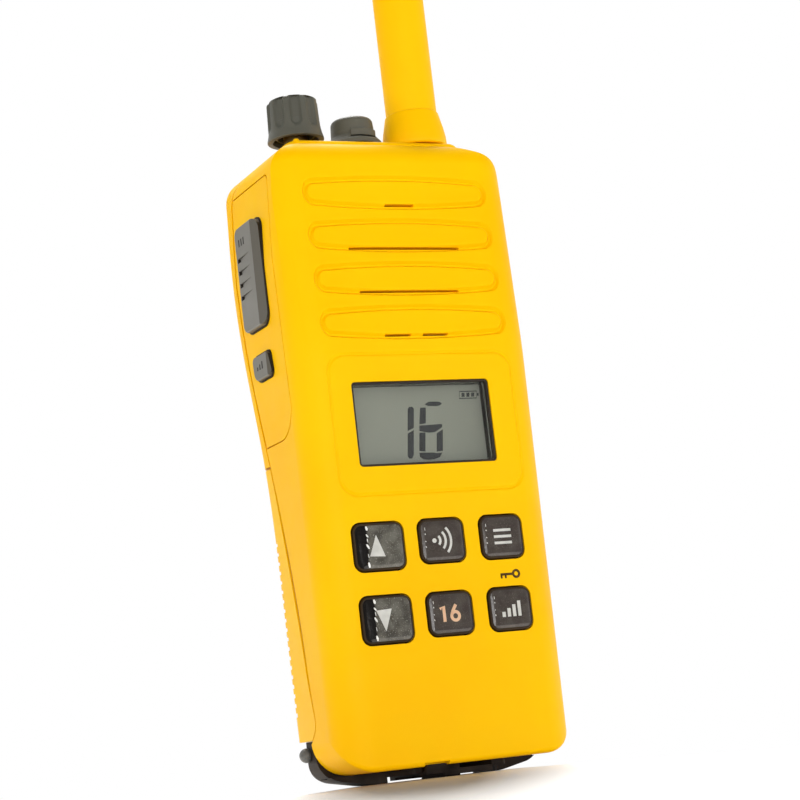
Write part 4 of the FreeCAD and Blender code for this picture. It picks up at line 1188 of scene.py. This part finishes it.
@dataclass
class Display:
    """Display window: frame, lens, liquid crystal glass with its digits, and light guide."""

    slant: float = math.tan(math.radians(7.2))
    foot_z: float = 73.75
    shift: Point2 = (0.83, 0.37)
    battery_left: float = 11.2
    battery_low: float = 88.4

    def build(self) -> None:
        """Make and dress every piece of the display."""
        dressed_node("lcd_frame", Body.CASE, DISPLAY_FRAME, 0.1)
        dressed_node("display_lens", Body.CASE, LENS, 0.08)
        dressed_node("lcd_panel", Body.CASE, LCD)
        dressed_node("light_guide", Body.CASE, LENS)
        glass_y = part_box("lcd_panel")[0].y / MM
        self.digits(glass_y)
        self.battery_sign(glass_y)

    def slanted(self, cell: Sequence[Point2]) -> list[Point2]:
        """Lean an outline to the right as the display's digits do."""
        return [(x + (z - self.foot_z) * self.slant, z) for x, z in cell]

    def digits(self, glass_y: float) -> None:
        """The number 16 in slanted display segments.

        Args:
            glass_y: Front of the display glass.
        """
        one = [[(-5.17, 80.6), (-3.57, 81.3), (-3.57, 85.9), (-4.0, 86.4), (-4.8, 86.4), (-5.17, 85.9)],
               [(-5.17, 74.6), (-4.7, 74.0), (-4.0, 74.0), (-3.57, 74.8), (-3.57, 80.8), (-5.17, 80.0)]]
        six = [[(-2.1, 82.1), (-0.4, 82.3), (-0.4, 86.1), (-1.9, 86.1)],
               [(-0.7, 86.9), (0.2, 86.45), (2.6, 86.35), (3.5, 86.6), (3.9, 87.05), (2.9, 87.45),
                (0.4, 87.5)],
               [(-2.1, 80.5), (-0.4, 80.5), (0.2, 80.0), (2.0, 80.1), (3.9, 81.2), (3.9, 82.0), (-2.1, 81.8)],
               [(-2.1, 75.7), (-0.5, 75.5), (-0.5, 80.1), (-2.1, 80.1)],
               [(2.5, 75.4), (4.1, 75.5), (4.1, 80.7), (2.5, 79.8)],
               [(-2.1, 75.3), (-1.9, 74.3), (-1.0, 73.7), (0.3, 73.5), (1.9, 73.6), (3.3, 74.0), (4.0, 75.1),
                (2.4, 75.0), (1.6, 75.2)]]
        cells = [[(x + self.shift[0], z + self.shift[1]) for x, z in self.slanted(cell)]
                 for cell in one + six]
        shape = printed(cells, flat_at(glass_y), lift_mm=0.03)
        finished(shape, "display_digits", LCD_SEGMENT, Body.CASE)

    def battery_sign(self, glass_y: float) -> None:
        """Small battery sign in the display's upper right corner.

        Args:
            glass_y: Front of the display glass.
        """
        left, low = self.battery_left, self.battery_low
        right, high = left + 4.6, low + 1.7
        cells = ribbon([(left, low), (right, low), (right, high), (left, high)], 0.25, closed=True)
        cells += ribbon([(left + 4.75, low + 0.85), (left + 5.2, low + 0.85)], 0.7)
        for bar in range(3):
            middle = left + 1.0 + bar * 1.3
            cells += ribbon([(middle, low + 0.35), (middle, low + 1.35)], 0.8)
        shape = printed([self.slanted(cell) for cell in cells], flat_at(glass_y), lift_mm=0.03)
        for vert in shape.verts:
            vert.co.x -= (low - self.foot_z) * self.slant * MM
        finished(shape, "display_battery_sign", LCD_SEGMENT, Body.CASE)


@dataclass
class VolumeControl:
    """Volume knob with its shaft, control, bushing and seal."""

    flutes: int = 9
    flute_half_width: float = 1.5
    flute_depth: float = 0.9
    flute_low: float = 161.2
    flute_power: float = 4.5
    first_flute: float = -67.0
    steps_per_flute: int = 26
    top_radius: float = 6.35
    top_rounding: float = 0.95
    skirt_radius: float = 7.0
    hollow_radius: float = 5.7
    hub_radius: float = 4.3

    def build(self) -> None:
        """Make the knob and dress what is under it."""
        centre, bottom, top = upright_ends("volume_knob")
        base = piece_from(self.blank(centre, bottom, top), "knob_blank", KNOB_NYLON)
        sizes = {
            "Flutes": self.flutes, "Half Width": self.flute_half_width * MM, "Depth": self.flute_depth * MM,
            "Low End": self.flute_low * MM, "First": math.radians(self.first_flute)}
        knob = run_group(base, self.flute_tree(centre, sizes), sizes, "volume_knob_piece", KNOB_NYLON)
        soften_edges(knob, 0.0)
        settle(knob, Body.KNOB, ["volume_knob"])
        dressed_node("volume_shaft", Body.KNOB, BRASS)
        dressed_node("volume_control", Body.CASE, BLACK_ABS)
        dressed_node("volume_seal", Body.CASE, SILICONE)

    def blank(self, centre: Point2, bottom: float, top: float) -> Shape:
        """Turned knob before its flutes are pressed in, open underneath.

        Args:
            centre: X and Y of the axis.
            bottom: Lower edge.
            top: Upper face.

        Returns:
            The turned shape.
        """
        rim, hollow, corner, steps = self.skirt_radius, self.hollow_radius, self.top_rounding, 14
        under = [(0.0, 5.0), (self.hub_radius, 5.0), (self.hub_radius + 0.1, 1.0), (hollow - 0.9, 1.0),
                 (hollow - 0.5, 5.0), (hollow, 4.6), (hollow, 0.0)]
        skirt = [(rim - 0.1, 0.0), (rim, 0.12), (rim - 0.02, 0.5), (rim - 0.2, 1.2), (rim - 0.36, 1.8)]
        lower = [(radius, bottom + height) for radius, height in under + skirt]
        side_low, side_high = Vector((rim - 0.45, bottom + 2.4)), Vector((self.top_radius, top - 1.1))
        side = [tuple(side_low.lerp(side_high, step / steps)) for step in range(steps + 1)]
        rounded = [(self.top_radius - corner + corner * math.sin(math.radians(turn)),
                    top - corner + corner * math.cos(math.radians(turn))) for turn in range(80, -1, -16)]
        crown = [(radius, top) for radius in (4.2, 3.1, 2.0, 1.0, 0.0)]
        return lathe(lower + side + rounded + crown, centre, self.flutes * self.steps_per_flute)

    def flute_tree(self, centre: Point2, sizes: dict[str, float | int]) -> Tree:
        """Geometry nodes that press evenly spaced round-ended flutes into a turned blank.

        Args:
            centre: X and Y of the knob's axis in millimetres.
            sizes: Name and default of each input.

        Returns:
            The tree.
        """
        tree = field_group("pressed_flutes", sizes)
        group = add_node(tree, "NodeGroupInput").outputs
        axis = (centre[0] * MM, centre[1] * MM, 0.0)
        position = add_node(tree, "GeometryNodeInputPosition")
        place = add_node(tree, VECTOR_MATH, {0: position, 1: axis}, operation="SUBTRACT")
        parts = add_node(tree, SPLIT, {"Vector": place}).outputs
        outer_wall, tiny = (self.hollow_radius + 0.05) * MM, 1e-6
        steps = (
            ("x squared", "MULTIPLY", "X", "X"), ("y squared", "MULTIPLY", "Y", "Y"),
            ("radius squared", "ADD", "x squared", "y squared"), ("radius", "SQRT", "radius squared"),
            # Way round the knob and down from the middle line and the round end of the nearest flute.
            ("angle", "ARCTAN2", "Y", "X"), ("turn", "SUBTRACT", "angle", "First"),
            ("half pitch", "DIVIDE", math.pi, "Flutes"), ("minus half", "MULTIPLY", "half pitch", -1.0),
            ("folded", "WRAP", "turn", "half pitch", "minus half"),
            ("across", "MULTIPLY", "folded", "radius"), ("across squared", "MULTIPLY", "across", "across"),
            ("over end", "SUBTRACT", "Z", "Low End"), ("below", "MINIMUM", "over end", 0.0),
            ("below squared", "MULTIPLY", "below", "below"),
            ("away squared", "ADD", "across squared", "below squared"), ("away", "SQRT", "away squared"),
            # How deep the outer wall sinks there, and what that leaves of its radius.
            ("share", "DIVIDE", "away", "Half Width"), ("steep", "POWER", "share", self.flute_power),
            ("level", "MINIMUM", "steep", 1.0), ("hollow", "SUBTRACT", 1.0, "level"),
            ("outside", "GREATER_THAN", "radius", outer_wall), ("pressed", "MULTIPLY", "hollow", "outside"),
            ("sunk", "MULTIPLY", "pressed", "Depth"), ("left", "SUBTRACT", "radius", "sunk"),
            ("divisor", "MAXIMUM", "radius", tiny), ("shrink", "DIVIDE", "left", "divisor"),
            ("new x", "MULTIPLY", "X", "shrink"), ("new y", "MULTIPLY", "Y", "shrink"))
        values = {socket.name: socket for socket in (*parts, *group)}
        for result, operation, *sources in steps:
            inputs = {number: values.get(source, source) for number, source in enumerate(sources)}
            values[result] = add_node(tree, MATH, inputs, operation=operation)
        pressed = add_node(tree, "ShaderNodeCombineXYZ", {
            "X": values["new x"], "Y": values["new y"], "Z": parts["Z"]})
        back = add_node(tree, VECTOR_MATH, {0: pressed, 1: axis}, operation="ADD")
        moved = add_node(tree, "GeometryNodeSetPosition", {"Geometry": group["Geometry"], "Position": back})
        close_group(tree, moved, KNOB_NYLON)
        return tree


@dataclass
class JackCap:
    """Rubber cap over the accessory jack, with a finger tab over a notch, and the jack itself."""

    rest: float = 155.5
    skirt_radius: float = 7.2
    waist_radius: float = 5.5
    plug_radius: float = 1.6
    tab_radius: float = 6.1
    tab_low: float = 157.6
    tab_high: float = 159.4
    tab_rounding: float = 0.4
    notch_low: float = 156.9
    notch_radius: float = 4.9
    tab_start: float = -118.0
    tab_end: float = -46.0

    def build(self) -> None:
        """Make the cap and dress the jack."""
        around, crease_degrees = 180, 34.0
        centre, bottom, top = upright_ends("jack_cap")
        turned = lathe(self.profile(bottom, top), centre, around, self.reach)
        cap = piece_from(turned, "jack_cap_piece", CAP_RUBBER, crease_degrees)
        soften_edges(cap, 0.0)
        settle(cap, Body.CAP, ["jack_cap"])
        dressed_node("jack_socket", Body.CASE, BRASS)

    def profile(self, bottom: float, top: float) -> list[Point2]:
        """Radius and height of the plain turned cap, with a step at each end of the tab and of the notch.

        Args:
            bottom: Lower end of the plug.
            top: Top of the dome.

        Returns:
            The profile's points.
        """
        step, shoulder, dome_radius = 0.01, 1.5, 1.3
        rest, skirt, waist, tab_top = self.rest, self.skirt_radius, self.waist_radius, self.tab_high
        flare = [(rest + 0.6, skirt), (rest + 0.75, skirt - 0.03), (rest + 0.95, skirt - 0.12),
                 (rest + 1.2, skirt - 0.3), (self.notch_low - step, 6.73), (self.notch_low + step, 6.72),
                 (157.25, 6.4), (self.tab_low - step, 6.13), (self.tab_low + step, 6.12), (157.9, 5.86),
                 (158.15, 5.66), (158.4, waist), (158.9, waist - 0.03),
                 (tab_top - self.tab_rounding, waist - 0.05)]
        flare += [(tab_top - self.tab_rounding * (1 - math.sin(math.radians(turn))), waist - 0.06)
                  for turn in (20, 40, 60, 80)]
        flare += [(tab_top - step, waist - 0.06), (tab_top + step, waist - 0.07), (160.4, waist - 0.12),
                  (161.4, waist - 0.2)]
        flare += [(top - dome_radius + dome_radius * math.sin(math.radians(turn)),
                   waist - 0.22 - shoulder + shoulder * math.cos(math.radians(turn)))
                  for turn in range(5, 91, 12)]
        plug = [(0.0, bottom), (self.plug_radius, bottom), (self.plug_radius, rest), (skirt - 0.12, rest),
                (skirt, rest + 0.12)]
        crown = [(radius, top) for radius in (3.0, 1.5, 0.0)]
        return plug + [(radius, height) for height, radius in flare] + crown

    def reach(self, radius: float, angle: float, height: float) -> float:
        """Radius of the cap with its tab and the notch under it.

        Args:
            radius: Radius of the plain turned shape.
            angle: Angle about the axis.
            height: Height.

        Returns:
            The radius at that place.
        """
        degrees = (math.degrees(angle) + 180) % 360 - 180
        in_sector = self.tab_start <= degrees <= self.tab_end
        if not in_sector or radius < self.notch_radius:
            return radius
        if self.notch_low < height < self.tab_low:
            return self.notch_radius
        if self.tab_low < height < self.tab_high:
            rise = min(1.0, max(0.0, height - self.tab_high + self.tab_rounding) / self.tab_rounding)
            return self.tab_radius - self.tab_rounding * (1 - math.sqrt(1 - rise * rise))
        return radius


@dataclass
class Antenna:
    """Whip antenna with its collar, and its socket in the top of the case."""

    def build(self) -> None:
        """Dress the collar, the whip and the socket."""
        dressed_node("antenna_base", Body.ANTENNA, ANTENNA_COVER, 0.3)
        dressed_node("antenna_whip", Body.ANTENNA, ANTENNA_COVER)
        dressed_node("antenna_socket", Body.CASE, BRASS)


@dataclass
class BatteryPack:
    """Battery pack on the back with its cells and contacts."""

    def build(self) -> None:
        """Dress the pack's pieces."""
        dressed_node("battery_shell", Body.PACK, PACK_SHELL, 0.15)
        dressed_node("battery_lid", Body.PACK, BLACK_ABS, 0.2)
        dressed_node("battery_cells", Body.PACK, CELL_WRAP, 0.5)
        dressed_node("pack_contacts", Body.PACK, CONTACT, 0.1)
        dressed_node("chassis_contacts", Body.CASE, CONTACT, 0.05)


@dataclass
class BaseGuard:
    """Black guard under the radio with the swinging battery latch and its axle."""

    top_band: float = 0.0008
    top_lift: float = 0.00025

    def build(self) -> None:
        """Dress the guard, the latch and the axle."""
        guard = dressed_node("base_guard", Body.CASE, GUARD_NYLON, 0.3)
        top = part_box("base_guard")[1].z
        # The upper edge is drawn out a little, up the casing.
        for vert in guard.data.vertices:
            if vert.co.z > top - self.top_band:
                vert.co.z += self.top_lift
        dressed_node("battery_latch", Body.LATCH, GUARD_NYLON, 0.25)
        dressed_node("latch_axle", Body.CASE, AXLE_NYLON, 0.1)


@dataclass
class Interior:
    """Chassis, boards, loudspeaker and microphone inside the case."""

    def build(self) -> None:
        """Dress the inner pieces."""
        for node, finish in (
                ("chassis", CAST), ("control_board", BOARD), ("radio_board", BOARD), ("rf_shield", STEEL),
                ("speaker_frame", STEEL), ("speaker_magnet", STEEL), ("speaker_cone", PAPER),
                ("speaker_cloth", SILICONE), ("microphone", STEEL)):
            dressed_node(node, Body.CASE, finish)


@dataclass(frozen=True)
class Lamp:
    """Soft rectangular lamp: its name, place, width and height in metres, and power in watts."""

    name: str
    place: Point3
    size: Point2
    watts: float


@dataclass
class Studio:
    """White studio: floor, surrounding light, lamps and camera."""

    camera_place: Point3 = (-0.2208, -0.4599, 0.003)
    camera_right: Point3 = (0.90335, -0.41399, -0.11211)
    camera_up: Point3 = (0.0295, -0.2008, 0.97919)
    camera_back: Point3 = (-0.42789, -0.88786, -0.16919)
    lens_mm: float = 96.05
    flat_radius: float = 0.02
    ring_start: float = 0.025
    ring_growth: float = 1.18
    floor_fall: float = 0.04
    glow_centre: Point3 = (-0.004, 0.002, 0.0)
    glow_turn: float = -24.6
    glow_reach: Point3 = (0.036, 0.21, 1.0)
    glow_span: Point2 = (0.38, 1.2)
    sky: float = 0.09
    walls: float = 4.2
    wall_full: float = 0.07
    wall_end: float = 0.24
    white_side: Point3 = (0.428, 0.888, 0.169)
    dark_side: float = 0.12
    gloss_span: Point2 = (-0.3, 0.4)
    lamp_aim: Point3 = (0.0, 0.0, 0.09)
    lamps: tuple[Lamp, ...] = (Lamp("key_lamp", (-0.3, -0.95, 0.05), (0.8, 0.2), 2.5),
                               Lamp("top_lamp", (0.17, 0.48, 1.2), (0.45, 0.45), 14.5))

    def build(self) -> None:
        """Make the floor, the world, the lamps and the camera."""
        self.floor()
        self.world()
        for lamp in self.lamps:
            self.light(lamp)
        self.camera()

    def floor(self) -> None:
        """Pale sheet that takes the object's shadow and falls away very gently; a painted glow, faint in an
        oval round the radio, turns it white further out.
        """
        steps, outer_rings = 96, 31
        radii = [0.0, self.flat_radius / 2, self.flat_radius]
        radii += [self.ring_start * self.ring_growth ** step for step in range(outer_rings)]
        turns = [2 * math.pi * step / steps for step in range(steps)]
        rings = [[Vector((radius * math.cos(turn), radius * math.sin(turn),
                          -self.floor_fall * max(0.0, radius - self.flat_radius))) for turn in turns]
                 for radius in radii]
        floor = piece_from(join_rings(rings[::-1], close=False), "studio_floor", STUDIO_SHEET)
        tree = floor.data.materials[0].node_tree
        shader = next(node for node in tree.nodes if node.type == "BSDF_PRINCIPLED")
        output = next(node for node in tree.nodes if node.type == "OUTPUT_MATERIAL")
        place = add_node(tree, COORDINATES).outputs["Object"]
        # Painted glow for camera, gloss and transmission rays: none in an oval round the radio, where the
        # real shadow shows, full white beyond.
        oval = add_node(tree, "ShaderNodeMapping", {
            "Vector": place, "Location": self.glow_centre, "Scale": self.glow_reach,
            "Rotation": (0.0, 0.0, math.radians(self.glow_turn))}, vector_type="TEXTURE")
        away = add_node(tree, VECTOR_MATH, {0: oval}, operation="LENGTH")
        fade = add_node(tree, MAP_RANGE, {
            "Value": away, "From Min": self.glow_span[0], "From Max": self.glow_span[1]})
        seen = self.seen_by(tree, "Is Camera Ray", "Is Glossy Ray", "Is Transmission Ray")
        strength = add_node(tree, MATH, {0: fade, 1: seen}, operation="MULTIPLY")
        glow = add_node(tree, "ShaderNodeEmission", {"Color": (1, 1, 1, 1), "Strength": strength})
        both = add_node(tree, "ShaderNodeAddShader", {0: shader, 1: glow})
        tree.links.new(both.outputs[0], output.inputs["Surface"])

    def seen_by(self, tree: Tree, *rays: str) -> Node:
        """Value that is 1 for the named kinds of ray and 0 for all others.

        Args:
            tree: The node tree.
            rays: Two or more outputs of the light path.

        Returns:
            The node that gives it.
        """
        path = add_node(tree, "ShaderNodeLightPath").outputs
        seen = add_node(tree, MATH, {0: path[rays[0]], 1: path[rays[1]]}, operation="MAXIMUM")
        for ray in rays[2:]:
            seen = add_node(tree, MATH, {0: seen, 1: path[ray]}, operation="MAXIMUM")
        return seen

    def world(self) -> None:
        """White background and a light tent with bright low walls; gloss sees a studio that is dark in front.

        The low walls light the upright faces evenly and leave the floor's shadow dark.
        """
        world = bpy.data.worlds.new("white_studio")
        world.use_nodes = True
        bpy.context.scene.world = world
        tree = world.node_tree
        tree.nodes.clear()
        towards = add_node(tree, COORDINATES).outputs["Generated"]
        behind = add_node(tree, VECTOR_MATH, {0: towards, 1: self.white_side}, operation="DOT_PRODUCT")
        gloss = add_node(tree, MAP_RANGE, {
            "Value": behind, "From Min": self.gloss_span[0], "From Max": self.gloss_span[1],
            "To Min": self.dark_side, "To Max": 1.0})
        upwards = add_node(tree, SPLIT, {"Vector": towards}).outputs["Z"]
        height = add_node(tree, MATH, {0: upwards}, operation="ABSOLUTE")
        tent = add_node(tree, MAP_RANGE, {
            "Value": height, "From Min": self.wall_full, "From Max": self.wall_end, "To Min": self.walls,
            "To Max": self.sky})
        glossy = add_node(tree, "ShaderNodeLightPath").outputs["Is Glossy Ray"]
        around = add_node(tree, MIX, {"Factor": glossy, "A": tent, "B": gloss})
        seen = self.seen_by(tree, "Is Camera Ray", "Is Transmission Ray")
        strength = add_node(tree, MIX, {"Factor": seen, "A": around, "B": 1.0})
        sky = add_node(tree, "ShaderNodeBackground", {"Color": (1, 1, 1, 1), "Strength": strength})
        add_node(tree, "ShaderNodeOutputWorld", {"Surface": sky})

    def light(self, lamp: Lamp) -> None:
        """Set up a lamp that points at the middle of the radio.

        Args:
            lamp: The lamp.
        """
        light = bpy.data.lights.new(lamp.name, "AREA")
        light.shape = "RECTANGLE"
        light.energy = lamp.watts
        light.size, light.size_y = lamp.size
        stand = bpy.data.objects.new(lamp.name, light)
        bpy.context.scene.collection.objects.link(stand)
        turn = (Vector(self.lamp_aim) - Vector(lamp.place)).to_track_quat("-Z", "Y").to_matrix().to_4x4()
        stand.matrix_world = Matrix.Translation(lamp.place) @ turn

    def camera(self) -> None:
        """Low camera in front and to the left, looking slightly up."""
        lens = bpy.data.cameras.new("view_camera")
        lens.sensor_width = 36.0
        lens.lens = self.lens_mm
        lens.clip_start = 0.01
        camera = bpy.data.objects.new("view_camera", lens)
        bpy.context.scene.collection.objects.link(camera)
        axes = (self.camera_right, self.camera_up, self.camera_back)
        rows = [[axis[row] for axis in axes] + [self.camera_place[row]] for row in range(3)]
        camera.matrix_world = Matrix(rows + [[0, 0, 0, 1]])
        bpy.context.scene.camera = camera


def main() -> None:
    """Build every sub-assembly in order, then the studio."""
    logging.basicConfig(level=logging.INFO, format="%(name)s: %(message)s")
    for part in (Casing(), SideButtons(), Keypad(), Display(), VolumeControl(), JackCap(), Antenna(),
                 BatteryPack(), BaseGuard(), Interior()):
        LOG.info("building %s", type(part).__name__)
        part.build()
    Studio().build()
    bpy.context.scene.view_settings.view_transform = "Standard"


if __name__ == "__main__":
    main()
